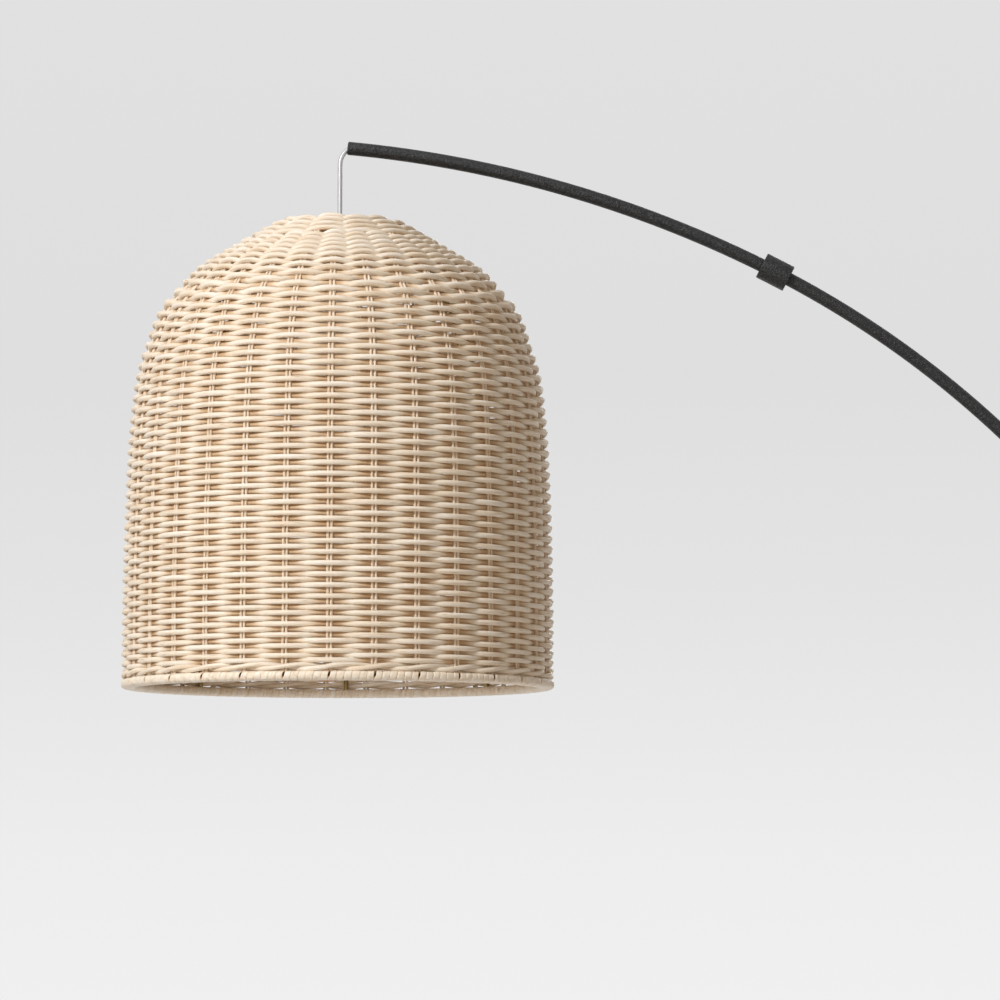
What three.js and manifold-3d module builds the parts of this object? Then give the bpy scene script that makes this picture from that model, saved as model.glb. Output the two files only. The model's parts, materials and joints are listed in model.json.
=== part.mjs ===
// Arc floor lamp with a woven cane dome shade hanging from the tip of a thin black steel arm.
// Lengths are in millimetres and +Z is up. The origin is the centre of the round base, on the floor.
// The arm reaches towards -X and the shade hangs on a plumb line there.

import * as THREE from "three";
import { mergeVertices } from "three/addons/utils/BufferGeometryUtils.js";
import Module from "manifold-3d";

const wasm = await Module();
wasm.setup();

// Clearances
const fitGap = 0.3; // left between pieces that touch or fit into each other
const cutOverrun = 1; // how far a cutter runs past the face that it opens
const weldTolerance = 0.001; // vertices closer than this are one vertex
const cordHingeGap = 0.9; // left where one stretch of cord bends against the next

// Pole and arm tubes
const tubeDiameter = 12.7;
const tubeWall = 1.2;
const poleJointHeight = 480; // floor to the coupling halfway up the pole
const poleTopHeight = 908; // floor to where the pole ends and the arm starts to curve
const armRadius = 920; // bend of the two lower arm sections, at the tube's centreline
const armTipRadius = 1100; // bend of the flatter last section
const tipSlope = THREE.MathUtils.degToRad(5.28); // below horizontal, seen from the tip
const tipJointSlope = THREE.MathUtils.degToRad(27.4);
const midJointSlope = THREE.MathUtils.degToRad(58.7);
const poleSlope = THREE.MathUtils.degToRad(90);

// Couplings that join the tubes, each held by two grub screws
const couplingDiameter = 25.4;
const couplingLength = 28.5;
const couplingChamfer = 0.6;
const couplingStop = 4; // inner shoulder that both tube ends butt against
const grubDiameter = 4;
const grubOffset = 8.5; // from the middle of the coupling
const grubKey = 2; // hexagon socket across its flats
const grubKeyDepth = 2;

// Supply lead and pendant cord
const cordDiameter = 5.2;
const cordBendRadius = 11; // where the cord turns down at the arm's tip
const leadBendRadius = 11; // where the lead turns out through the pole socket
const plumbOverhang = 7.1; // from the tip's end face to the cord's plumb line
const cordFlexLength = 14; // short stretch of cord under the tip that bends first
const tipBushLength = 12;
const visibleCord = 71; // from the tip's centre down to the crown's edge

// Base
const baseDiameter = 340;
const padThickness = 2;
const padInset = 8;
const weightThickness = 21;
const weightEdgeChamfer = 5;
const coverSheet = 1.2;
const coverEdgeRadius = 6;
const boltDiameter = 10;
const boltHeadAcross = 16;
const boltHeadHeight = 6.4;
const boltEngagement = 12;
const washerDiameter = 21;
const washerThickness = 2;

// Pole socket on the base
const socketFlangeDiameter = 66;
const socketFlangeThickness = 5;
const socketDiameter = 32;
const socketTubeDepth = 26;
const socketWeb = 2; // floor between the bolt's end and the lead's way out
const socketChamfer = 1;
const socketGrubDiameter = 5;
const glandDiameter = 9;
const glandFlangeDiameter = 13;
const glandFlangeThickness = 2;

// Woven shade
const shadeDiameter = 405.4;
const shadeHeight = 442.7;
const crownDiameter = 119; // opening in the crown
const weaveThickness = 6;
const walingHeight = 8;
const rimHeight = 9;
const rimFloor = 1.7; // binding under the bottom ring
const rimInnerWall = 1.8; // binding inside the bottom ring
const firstStakeAzimuth = THREE.MathUtils.degToRad(-89.85); // from +X, seen from above

// Welded wire inside the shade
const ringWire = 5;
const ribWire = 4.5;
const ribInset = 11.2; // from the weave's outer face to a rib's centreline
const spokeWire = 4;
const fitterDiameter = 52;
const fitterThickness = 2;

// Lampholder, from its plate upwards and downwards
const holderSkirtDiameter = 39;
const holderWall = 2.4;
const holderShoulderDiameter = 46;
const holderShoulderHeight = 3;
const holderNeckHeight = 9; // above the fitter plate
const holderSkirtLength = 28; // below the fitter plate's top
const insulatorThickness = 6;
const contactDiameter = 3;
const contactHeadDiameter = 8;
const contactHeadThickness = 1.6;
const screwShellDiameter = 28.8;
const screwShellWall = 1;
const capWall = 1.7;
const capHeight = 21; // above the fitter plate
const capDomeDrop = 6;
const shadeRingDiameter = 51;
const shadeRingHeight = 9;
const gripDiameter = 13;
const gripThreadDiameter = 10;
const gripThreadLength = 6;
const gripHeight = 11;
const gripBelowCrown = 2; // grip's top under the level of the crown's edge
const cordTailLength = 5; // cord past the grip, inside the cap

// Bulb
const bulbDiameter = 60;
const bulbBaseDiameter = 26;
const bulbBaseLength = 24;
const bulbLength = 110; // with its base
const bulbWall = 0.9;

// Counts
const tubeSides = 12;
const armSteps = 14;
const leadBendSteps = 5;
const cordBendSteps = 8;
const coverEdgeSteps = 3;
const cordSides = 8;
const wireSides = 6;
const hexagonSides = 6;
const turnedSides = 16;
const baseSides = 40;
const shadeSides = 40;
const ribs = 8;
const ribStops = 9;
const stakePairs = 31; // uprights of the weave, which the ribs stand between
const outlineRows = 14; // rows of facets down the weave
const rowCrowding = 1.5; // power that brings the rows closer together at the crown
const topRingRow = 2; // the row that the top ring lies under
const spokes = 4;
const bulbRows = 10;

// The shade's outer line from the crown's edge to the foot of the weave. Each point has the share
// of the way out from the crown opening to the full radius, and the share of the weave's height.
const shadeOutlineShares = [
  [0, 1],
  [0.066, 0.99],
  [0.271, 0.947],
  [0.495, 0.9],
  [0.587, 0.8735],
  [0.686, 0.834],
  [0.792, 0.787],
  [0.865, 0.7165],
  [0.924, 0.647],
  [0.964, 0.5265],
  [0.987, 0.36],
  [1, 0.16],
  [1, 0],
];

// Heights on the rounded end of a hanging cord, as shares of its radius.
const cordDomeShares = [0.3, 0.6, 0.85];

// The bulb's outer line below its neck: shares of its radius and of the way down to its end.
const bulbOutlineShares = [
  [0.43, 0.12],
  [0.6, 0.3],
  [0.9, 0.52],
  [1, 0.68],
  [0.9, 0.85],
  [0.5, 0.97],
  [0, 1],
];

// Sizes worked out from the ones above
const tubeRadius = tubeDiameter / 2;
const tubeBore = tubeRadius - tubeWall;
const cordRadius = cordDiameter / 2;
const leadPassage = cordRadius + fitGap;
const couplingEase = couplingLength ** 2 / (4 * armRadius); // lets the curved tube into a straight bore
const couplingBore = tubeRadius + fitGap + couplingEase;
const jointGap = couplingStop / 2 + fitGap; // from a joint's middle to each tube's end
const baseRadius = baseDiameter / 2;

const weightBottom = padThickness + fitGap;
const weightTop = weightBottom + weightThickness;
const coverUnderside = weightTop + fitGap;
const coverTop = coverUnderside + coverSheet;
const socketBottom = coverTop + fitGap;
const boltTip = socketBottom + boltEngagement;
const leadExitHeight = boltTip + fitGap + socketWeb + glandDiameter / 2 + fitGap;
const tubeFootHeight = leadExitHeight + leadBendRadius;
const socketTop = tubeFootHeight + socketTubeDepth;

// A geometry's solid, ready to be joined or cut.
function solidOf(geometry) {
  const bare = geometry.clone();
  bare.deleteAttribute("normal");
  bare.deleteAttribute("uv");
  const merged = mergeVertices(bare, weldTolerance);
  const vertProperties = merged.attributes.position.array;
  const triVerts = new Uint32Array(merged.index.array);
  return new wasm.Manifold(new wasm.Mesh({ numProp: 3, vertProperties, triVerts }));
}

// A solid as a geometry again.
function geometryOf(solid) {
  const { vertProperties, triVerts } = solid.getMesh();
  const geometry = new THREE.BufferGeometry();
  geometry.setAttribute("position", new THREE.BufferAttribute(vertProperties, 3));
  geometry.setIndex(new THREE.BufferAttribute(triVerts, 1));
  geometry.computeVertexNormals();
  return geometry;
}

function joined(geometries) {
  return geometryOf(geometries.map(solidOf).reduce((whole, next) => whole.add(next)));
}

function cut(geometry, cutters) {
  return geometryOf(cutters.map(solidOf).reduce((left, next) => left.subtract(next), solidOf(geometry)));
}

// A section of [radius, height] points turned about Z. It starts and ends on the axis, or closes on itself.
function turned(section, sides = turnedSides) {
  const points = section.map(([radius, height]) => new THREE.Vector2(radius, height));
  if (THREE.ShapeUtils.area(points) < 0) points.reverse();
  if (points[0].x > 0) points.push(points[0].clone());
  return new THREE.LatheGeometry(points, sides).rotateX(Math.PI / 2);
}

// A plain ring between two radii and two heights.
function collar(outerRadius, innerRadius, low, high, sides = turnedSides) {
  const section = [
    [innerRadius, low],
    [outerRadius, low],
    [outerRadius, high],
    [innerRadius, high],
  ];
  return turned(section, sides);
}

// A round bar between two heights on the Z axis.
function bar(radius, low, high, sides = turnedSides) {
  return new THREE.CylinderGeometry(radius, radius, high - low, sides)
    .rotateX(Math.PI / 2)
    .translate(0, 0, (low + high) / 2);
}

// A regular polygon's corners, for a round section.
function corners(radius, sides) {
  return Array.from({ length: sides }, (_, i) => {
    const turn = (2 * Math.PI * i) / sides;
    return new THREE.Vector2(radius * Math.cos(turn), radius * Math.sin(turn));
  });
}

// A solid rod, or a tube where it has a bore, swept along a path.
function swept(path, steps, radius, sides, bore = 0) {
  const shape = new THREE.Shape(corners(radius, sides));
  if (bore > 0) shape.holes.push(new THREE.Path(corners(bore, sides)));
  return new THREE.ExtrudeGeometry(shape, { steps, extrudePath: path, bevelEnabled: false });
}

function straight(from, to) {
  return new THREE.LineCurve3(from, to);
}

// Part of a circle in the XZ plane, between two slopes of the line that runs along it.
class ArcRun extends THREE.Curve {
  constructor(centre, radius, startSlope, endSlope) {
    super();
    Object.assign(this, { centre, radius, startSlope, endSlope });
  }

  getPoint(t, target = new THREE.Vector3()) {
    const slope = THREE.MathUtils.lerp(this.startSlope, this.endSlope, t);
    const x = this.centre.x + this.radius * Math.sin(slope);
    const z = this.centre.z + this.radius * Math.cos(slope);
    return target.set(x, 0, z);
  }
}

// The arm's two bends: their centres, and the point at a slope on each.
const armCentre = new THREE.Vector3(-armRadius, 0, poleTopHeight);

function armPoint(slope) {
  return new ArcRun(armCentre, armRadius, slope, slope).getPoint(0);
}

const tipJoint = armPoint(tipJointSlope);
const armTipCentre = new THREE.Vector3(
  tipJoint.x - armTipRadius * Math.sin(tipJointSlope),
  0,
  tipJoint.z - armTipRadius * Math.cos(tipJointSlope),
);

function tipArmPoint(slope) {
  return new ArcRun(armTipCentre, armTipRadius, slope, slope).getPoint(0);
}

// The tip, the cord's bend just inside it and the plumb line below it.
const tipFace = tipArmPoint(tipSlope);
const plumbX = tipFace.x - plumbOverhang;
const bendReach = cordBendRadius * (1 + Math.sin(tipSlope));
const bendInset = (bendReach - plumbOverhang) / Math.cos(tipSlope);
const bendSlope = tipSlope + bendInset / armTipRadius;
const bendStart = tipArmPoint(bendSlope);
const leadEndSlope = tipSlope + (bendInset + fitGap) / armTipRadius;
const bushSlope = tipSlope + (bendInset + fitGap + tipBushLength / 2) / armTipRadius;
const cordDropHeight = bendStart.z - cordBendRadius * Math.cos(tipSlope);
const flexFoot = cordDropHeight - cordFlexLength;

// The shade hangs so that its crown stays the length of visible cord below the tip.
const crownZ = tipFace.z - visibleCord;
const shadeFoot = crownZ - shadeHeight;
const shadeRadius = shadeDiameter / 2;
const crownRadius = crownDiameter / 2;
const rimTop = rimHeight;
const walingFoot = rimTop + fitGap;
const weaveFoot = walingFoot + walingHeight + fitGap;
const gripTop = shadeHeight - gripBelowCrown;
const plateTop = gripTop - gripHeight - fitGap - capHeight; // top of the fitter plate

// Finishes, one material for each piece
const finish = (color, roughness, metalness) => () =>
  new THREE.MeshStandardMaterial({ color, roughness, metalness });
const blackPowder = finish(0x2b2b2d, 0.6, 0.35);
const castIron = finish(0x4a4a4c, 0.8, 0.7);
const zincSteel = finish(0xb5b8bb, 0.35, 0.9);
const blackPlastic = finish(0x1d1d1f, 0.45, 0);
const darkFelt = finish(0x2e2c2a, 0.95, 0);
const clearCord = finish(0xd5d8da, 0.25, 0);
const cane = finish(0xe3cba4, 0.6, 0);
const caneBinding = finish(0xdcc096, 0.5, 0);
const brassWire = finish(0x8d7a4b, 0.45, 0.6);
const whiteCeramic = finish(0xe9e6df, 0.3, 0);
const brass = finish(0xc2a45a, 0.3, 0.9);
const opalGlass = finish(0xf6f3ec, 0.2, 0);

function piece(name, geometry, material) {
  const mesh = new THREE.Mesh(geometry, material());
  mesh.name = name;
  return mesh;
}

function groupOf(pieces, x = 0, y = 0, z = 0) {
  const group = new THREE.Group();
  group.position.set(x, y, z);
  group.add(...pieces);
  return group;
}

// Base pad: a full disc under the weight that keeps the metal off the floor.
function basePad() {
  return piece("base_pad", bar(baseRadius - padInset, 0, padThickness, baseSides), darkFelt);
}

// Cast disc with a recess below for the bolt's head.
function baseWeight() {
  const edge = baseRadius - coverSheet - fitGap;
  const recess = washerDiameter / 2 + fitGap;
  const recessTop = weightBottom + boltHeadHeight + washerThickness + 2 * fitGap;
  const bore = boltDiameter / 2 + fitGap;
  const section = [
    [recess, weightBottom],
    [edge, weightBottom],
    [edge, weightTop - weightEdgeChamfer],
    [edge - weightEdgeChamfer, weightTop],
    [bore, weightTop],
    [bore, recessTop],
    [recess, recessTop],
  ];
  return piece("base_weight", turned(section, baseSides), castIron);
}

// A quarter round from a flat top down to an upright side.
function roundedEdge(radius, top, round) {
  return Array.from({ length: coverEdgeSteps + 1 }, (_, i) => {
    const turn = (Math.PI / 2) * (i / coverEdgeSteps);
    return [radius - round + round * Math.sin(turn), top - round + round * Math.cos(turn)];
  });
}

// Pressed steel cover with a rounded edge and a skirt down the weight's side.
function baseCover() {
  const bore = boltDiameter / 2 + fitGap;
  const outerEdge = roundedEdge(baseRadius, coverTop, coverEdgeRadius);
  const innerEdge = roundedEdge(baseRadius - coverSheet, coverUnderside, coverEdgeRadius - coverSheet);
  const section = [
    [bore, coverTop],
    ...outerEdge,
    [baseRadius, weightBottom],
    [baseRadius - coverSheet, weightBottom],
    ...innerEdge.reverse(),
    [bore, coverUnderside],
  ];
  return piece("base_cover", turned(section, baseSides), blackPowder);
}

// Hexagon-headed bolt from below, through the weight and the cover into the socket.
function baseBolt() {
  const headBottom = weightBottom;
  const headTop = headBottom + boltHeadHeight;
  const head = bar(boltHeadAcross / Math.sqrt(3), headBottom, headTop, hexagonSides);
  const shank = bar(boltDiameter / 2, headBottom + boltHeadHeight / 2, boltTip);
  return piece("base_bolt", joined([head, shank]), zincSteel);
}

function baseWasher() {
  const low = weightBottom + boltHeadHeight + fitGap;
  const geometry = collar(washerDiameter / 2, boltDiameter / 2 + fitGap, low, low + washerThickness);
  return piece("base_washer", geometry, zincSteel);
}

// Turned socket that the bolt holds down: tube seat above, lead's way out behind.
function poleSocket() {
  const flange = socketFlangeDiameter / 2;
  const flangeTop = socketBottom + socketFlangeThickness;
  const barrel = socketDiameter / 2;
  const boltBore = boltDiameter / 2 + fitGap;
  const boltHoleTop = boltTip + fitGap;
  const cavityFloor = boltHoleTop + socketWeb;
  const cavity = Math.max(tubeBore, leadPassage) + fitGap;
  const seat = tubeRadius + fitGap;
  const body = turned([
    [0, boltHoleTop],
    [boltBore, boltHoleTop],
    [boltBore, socketBottom],
    [flange, socketBottom],
    [flange, flangeTop - socketChamfer],
    [flange - socketChamfer, flangeTop],
    [barrel, flangeTop],
    [barrel, socketTop - socketChamfer],
    [barrel - socketChamfer, socketTop],
    [seat, socketTop],
    [seat, tubeFootHeight - fitGap],
    [cavity, tubeFootHeight - fitGap],
    [cavity, cavityFloor],
    [0, cavityFloor],
  ]);
  const wayOut = bar(glandDiameter / 2 + fitGap, 0, barrel + cutOverrun)
    .rotateY(Math.PI / 2)
    .translate(0, 0, leadExitHeight);
  const screwHole = bar(socketGrubDiameter / 2 + fitGap, 0, barrel + cutOverrun)
    .rotateY(Math.PI / 2)
    .translate(0, 0, socketScrewHeight());
  return piece("pole_socket", cut(body, [wayOut, screwHole]), blackPowder);
}

function socketScrewHeight() {
  return tubeFootHeight + socketTubeDepth / 2;
}

// Grub screw with a hexagon key hole in its outer end, along Z from its tip.
function grubScrew(name, diameter, length) {
  const body = bar(diameter / 2, 0, length, cordSides);
  const key = bar(grubKey / Math.sqrt(3), length - grubKeyDepth, length + cutOverrun, hexagonSides);
  return piece(name, cut(body, [key]), zincSteel);
}

function socketScrew() {
  const tip = tubeRadius + fitGap;
  const screw = grubScrew("socket_screw", socketGrubDiameter, socketDiameter / 2 - tip);
  screw.rotation.y = Math.PI / 2;
  screw.position.set(tip, 0, socketScrewHeight());
  return screw;
}

// Plastic bush in the socket's side hole, where the mains lead would come in.
function cordGland() {
  const barrel = socketDiameter / 2;
  const body = collar(glandDiameter / 2, leadPassage, leadBendRadius, barrel + fitGap);
  const flangeEnd = barrel + fitGap + glandFlangeThickness;
  const flange = collar(glandFlangeDiameter / 2, leadPassage, barrel + fitGap, flangeEnd);
  const gland = piece("cord_gland", joined([body, flange]), blackPlastic);
  gland.rotation.y = Math.PI / 2;
  gland.position.z = leadExitHeight;
  return gland;
}

// Upright tube between two heights.
function poleTube(name, low, high) {
  return piece(name, collar(tubeRadius, tubeBore, low, high, tubeSides), blackPowder);
}

// Curved tube of the arm between two slopes, each end set back by its own gap.
function armTube(name, centre, radius, upperSlope, upperGap, lowerSlope, lowerGap) {
  const path = new ArcRun(centre, radius, upperSlope + upperGap / radius, lowerSlope - lowerGap / radius);
  return piece(name, swept(path, armSteps, tubeRadius, tubeSides, tubeBore), blackPowder);
}

// Sleeve over two tube ends, with a stop between them and a screw hole for each, along its own Z.
function couplingSleeve(name) {
  const radius = couplingDiameter / 2;
  const half = couplingLength / 2;
  const stop = tubeBore + fitGap;
  const sleeve = turned(
    [
      [radius, half - couplingChamfer],
      [radius - couplingChamfer, half],
      [couplingBore, half],
      [couplingBore, couplingStop / 2],
      [stop, couplingStop / 2],
      [stop, -couplingStop / 2],
      [couplingBore, -couplingStop / 2],
      [couplingBore, -half],
      [radius - couplingChamfer, -half],
      [radius, couplingChamfer - half],
    ],
    tubeSides,
  );
  const holes = [grubOffset, -grubOffset].map((z) =>
    bar(grubDiameter / 2 + fitGap, 0, radius + cutOverrun, tubeSides)
      .rotateX(-Math.PI / 2)
      .translate(0, 0, z),
  );
  return piece(name, cut(sleeve, holes), blackPowder);
}

// A coupling with its two screws, turned so that its own Z runs down the tube at a slope.
function coupling(place, point, slope) {
  const tip = couplingBore;
  const length = couplingDiameter / 2 - tip;
  const screws = ["upper", "lower"].map((end) => {
    const screw = grubScrew(`${place}_screw_${end}`, grubDiameter, length);
    screw.rotation.x = -Math.PI / 2;
    screw.position.set(0, tip, end === "upper" ? -grubOffset : grubOffset);
    return screw;
  });
  const group = groupOf([couplingSleeve(`${place}_coupling`), ...screws], point.x, point.y, point.z);
  group.rotation.y = Math.PI / 2 + slope;
  return group;
}

// Bush pressed into the arm's tip, which centres the cord.
function tipBush() {
  const half = tipBushLength / 2;
  const geometry = collar(tubeBore - fitGap, leadPassage, -half, half, tubeSides);
  const bush = piece("tip_bush", geometry, blackPlastic);
  bush.position.copy(tipArmPoint(bushSlope));
  bush.rotation.y = Math.PI / 2 + bushSlope;
  return bush;
}

// Supply lead held all the way: in through the gland, up the pole and along the arm to the tip.
function supplyLead() {
  const mouth = socketDiameter / 2 + fitGap + glandFlangeThickness;
  const bendCentre = new THREE.Vector3(leadBendRadius, 0, tubeFootHeight);
  const lap = fitGap;
  const entry = straight(
    new THREE.Vector3(mouth, 0, leadExitHeight),
    new THREE.Vector3(leadBendRadius - lap, 0, leadExitHeight),
  );
  const bend = new ArcRun(bendCentre, leadBendRadius, Math.PI, (3 / 2) * Math.PI);
  const rise = straight(
    new THREE.Vector3(0, 0, tubeFootHeight - lap),
    new THREE.Vector3(0, 0, poleTopHeight + lap),
  );
  const lower = new ArcRun(armCentre, armRadius, poleSlope, tipJointSlope - lap / armRadius);
  const upper = new ArcRun(armTipCentre, armTipRadius, tipJointSlope, leadEndSlope);
  const runs = [
    swept(entry, 1, cordRadius, cordSides),
    swept(bend, leadBendSteps, cordRadius, cordSides),
    swept(rise, 1, cordRadius, cordSides),
    swept(lower, armSteps, cordRadius, cordSides),
    swept(upper, armSteps, cordRadius, cordSides),
  ];
  return piece("supply_lead", joined(runs), clearCord);
}

// Cord that leaves the tip in line with the tube and turns down to the plumb line.
function cordBend() {
  const centre = new THREE.Vector3(plumbX + cordBendRadius, 0, cordDropHeight);
  const path = new ArcRun(centre, cordBendRadius, tipSlope, -Math.PI / 2);
  return piece("cord_bend", swept(path, cordBendSteps, cordRadius, cordSides), clearCord);
}

// A straight stretch of hanging cord whose upper end is domed, so that it can tilt under the next.
function hangingCord(name, top, foot) {
  const dome = cordDomeShares.map((share) => [
    cordRadius * Math.sqrt(1 - share ** 2),
    top - cordRadius * (1 - share),
  ]);
  const section = [[0, foot], [cordRadius, foot], [cordRadius, top - cordRadius], ...dome, [0, top]];
  return piece(name, turned(section, cordSides), clearCord);
}

// The shade's outer line, from the crown's edge to the foot of the weave, above the shade's foot.
const shadeOutline = new THREE.SplineCurve(
  shadeOutlineShares.map(
    ([out, up]) =>
      new THREE.Vector2(
        THREE.MathUtils.lerp(crownRadius, shadeRadius, out),
        THREE.MathUtils.lerp(weaveFoot, shadeHeight, up),
      ),
  ),
);

// The point that lies inside an outline by an inset, at a share of the outline's length.
function inside(outline, share, inset) {
  const point = outline.getPointAt(share);
  const along = outline.getTangentAt(share);
  return new THREE.Vector2(point.x + along.y * inset, point.y - along.x * inset);
}

function rowShare(row) {
  return (row / outlineRows) ** rowCrowding;
}

// Woven wall: a shell that follows the outline, open at the crown and at the foot.
function shadeWeave() {
  const shares = Array.from({ length: outlineRows + 1 }, (_, row) => rowShare(row));
  const outer = shares.map((share) => inside(shadeOutline, share, 0).toArray());
  const inner = shares.map((share) => inside(shadeOutline, share, weaveThickness).toArray());
  return piece("shade_weave", turned([...outer, ...inner.reverse()], shadeSides), cane);
}

// Twisted band that closes the foot of the weave.
function walingBand() {
  const inner = shadeRadius - weaveThickness;
  const geometry = collar(shadeRadius, inner, walingFoot, walingFoot + walingHeight, shadeSides);
  return piece("waling_band", geometry, cane);
}

// Wrapped rim: a binding round the bottom ring, open above where the stakes and ribs come in.
function rimBinding() {
  const ringCentre = shadeRadius - ribInset;
  const channelOut = ringCentre + ringWire / 2 + fitGap;
  const channelIn = ringCentre - ringWire / 2 - fitGap;
  const section = [
    [channelIn - rimInnerWall, 0],
    [shadeRadius, 0],
    [shadeRadius, rimTop],
    [channelOut, rimTop],
    [channelOut, rimFloor],
    [channelIn, rimFloor],
    [channelIn, rimTop],
    [channelIn - rimInnerWall, rimTop],
  ];
  return piece("rim_binding", turned(section, shadeSides), caneBinding);
}

// A closed ring of wire round the Z axis.
function wireRing(radius, height, wire, sides) {
  const section = corners(wire / 2, wireSides).map(({ x, y }) => [radius + x, height + y]);
  return turned(section, sides);
}

// Azimuth of a rib: midway between two pairs of stakes, as near to even spacing as that allows.
// The first rib is the one across the shade from the first pair.
function ribAzimuth(index) {
  const space = Math.floor(stakePairs / 2) + Math.round((index * stakePairs) / ribs);
  return firstStakeAzimuth + ((space + 0.5) / stakePairs) * 2 * Math.PI;
}

// Eight ribs welded to the bottom ring. Their upper ends butt against the top ring.
function shadeCage() {
  const ringHeight = rimFloor + fitGap + ringWire / 2;
  const reach = shadeOutline.getLength();
  const start = rowShare(topRingRow) + (ringWire / 2 + 2 * fitGap) / reach;
  const line = Array.from({ length: ribStops + 1 }, (_, stop) => {
    const share = THREE.MathUtils.lerp(start, 1, stop / ribStops);
    const { x, y } = inside(shadeOutline, share, ribInset);
    return new THREE.Vector3(x, 0, y);
  });
  line.push(new THREE.Vector3(shadeRadius - ribInset, 0, ringHeight));
  const rib = swept(new THREE.CatmullRomCurve3(line), ribStops + 1, ribWire / 2, wireSides);
  const turnedRibs = Array.from({ length: ribs }, (_, i) => rib.clone().rotateZ(ribAzimuth(i)));
  const ring = wireRing(shadeRadius - ribInset, ringHeight, ringWire, shadeSides);
  return piece("shade_cage", joined([ring, ...turnedRibs]), brassWire);
}

// Top ring with its spokes and the fitter plate that the lampholder clamps.
function shadeTopRing() {
  const inset = weaveThickness + 2 * fitGap + ringWire / 2;
  const { x: radius, y: height } = inside(shadeOutline, rowShare(topRingRow), inset);
  const plateRadius = fitterDiameter / 2;
  const plateMiddle = plateTop - fitterThickness / 2;
  const hole = holderSkirtDiameter / 2 + fitGap;
  const plate = collar(plateRadius, hole, plateTop - fitterThickness, plateTop);
  const spoke = swept(
    straight(
      new THREE.Vector3(radius, 0, height),
      new THREE.Vector3(plateRadius - spokeWire / 2, 0, plateMiddle),
    ),
    1,
    spokeWire / 2,
    wireSides,
  );
  const arms = Array.from({ length: spokes }, (_, i) =>
    spoke.clone().rotateZ(((i + 0.5) / spokes) * 2 * Math.PI),
  );
  const ring = wireRing(radius, height, ringWire, shadeSides / 2);
  const whole = joined([ring, plate, ...arms]);
  const clearAbove = bar(holderShoulderDiameter / 2 + fitGap, plateTop, plateTop + spokeWire);
  const clearBelow = bar(
    shadeRingDiameter / 2 + fitGap,
    plateTop - fitterThickness - spokeWire,
    plateTop - fitterThickness,
  );
  return piece("shade_top_ring", cut(whole, [clearAbove, clearBelow]), brassWire);
}

// Lampholder body: shoulder above the fitter plate and a threaded skirt through it.
function holderBody() {
  const skirt = holderSkirtDiameter / 2;
  const section = [
    [skirt, plateTop - holderSkirtLength],
    [skirt, plateTop + fitGap],
    [holderShoulderDiameter / 2, plateTop + fitGap],
    [holderShoulderDiameter / 2, plateTop + fitGap + holderShoulderHeight],
    [skirt, plateTop + fitGap + holderShoulderHeight],
    [skirt, plateTop + holderNeckHeight],
    [skirt - holderWall, plateTop + holderNeckHeight],
    [skirt - holderWall, plateTop - holderSkirtLength],
  ];
  return piece("holder_body", turned(section), blackPlastic);
}

// Domed cap over the body's neck, with a hole for the cord grip.
function holderCap() {
  const inner = holderSkirtDiameter / 2 + fitGap;
  const outer = inner + capWall;
  const low = plateTop + holderShoulderHeight + 2 * fitGap;
  const top = plateTop + capHeight;
  const hole = gripThreadDiameter / 2 + fitGap;
  const domeOut = (outer + hole) / 2;
  const domeIn = (inner + hole) / 2;
  const section = [
    [outer, low],
    [outer, top - capDomeDrop],
    [domeOut, top],
    [hole, top],
    [hole, top - capWall],
    [domeIn, top - capWall],
    [inner, top - capDomeDrop - capWall / 2],
    [inner, low],
  ];
  return piece("holder_cap", turned(section), blackPlastic);
}

// Cord grip screwed into the cap.
function cordGrip() {
  const low = plateTop + capHeight + fitGap;
  const head = collar(gripDiameter / 2, leadPassage, low, low + gripHeight);
  const thread = collar(gripThreadDiameter / 2, leadPassage, low - gripThreadLength, low + gripHeight / 2);
  return piece("cord_grip", joined([head, thread]), blackPlastic);
}

// Ceramic disc in the body that carries the contacts.
function holderInsulator() {
  const radius = holderSkirtDiameter / 2 - holderWall - fitGap;
  const hole = contactDiameter / 2 + fitGap;
  const geometry = collar(radius, hole, plateTop, plateTop + insulatorThickness);
  return piece("holder_insulator", geometry, whiteCeramic);
}

function contactFoot() {
  return plateTop - fitGap - contactHeadThickness;
}

// Centre contact riveted through the insulator.
function centreContact() {
  const stem = contactDiameter / 2;
  const head = contactHeadDiameter / 2;
  const section = [
    [0, contactFoot()],
    [head, contactFoot()],
    [head, contactFoot() + contactHeadThickness],
    [stem, contactFoot() + contactHeadThickness],
    [stem, plateTop + insulatorThickness + contactHeadThickness],
    [0, plateTop + insulatorThickness + contactHeadThickness],
  ];
  return piece("centre_contact", turned(section), brass);
}

// Screw shell under the insulator, with a flange that rests against it.
function screwShell() {
  const outer = screwShellDiameter / 2;
  const flange = holderSkirtDiameter / 2 - holderWall - fitGap;
  const section = [
    [outer - screwShellWall, plateTop - holderSkirtLength],
    [outer, plateTop - holderSkirtLength],
    [outer, plateTop - fitGap - screwShellWall],
    [flange, plateTop - fitGap - screwShellWall],
    [flange, plateTop - fitGap],
    [outer - screwShellWall, plateTop - fitGap],
  ];
  return piece("screw_shell", turned(section), brass);
}

// Threaded ring that clamps the fitter plate from below.
function shadeRing() {
  const high = plateTop - fitterThickness - fitGap;
  const geometry = collar(
    shadeRingDiameter / 2,
    holderSkirtDiameter / 2 + fitGap,
    high - shadeRingHeight,
    high,
  );
  return piece("shade_ring", geometry, blackPlastic);
}

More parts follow.
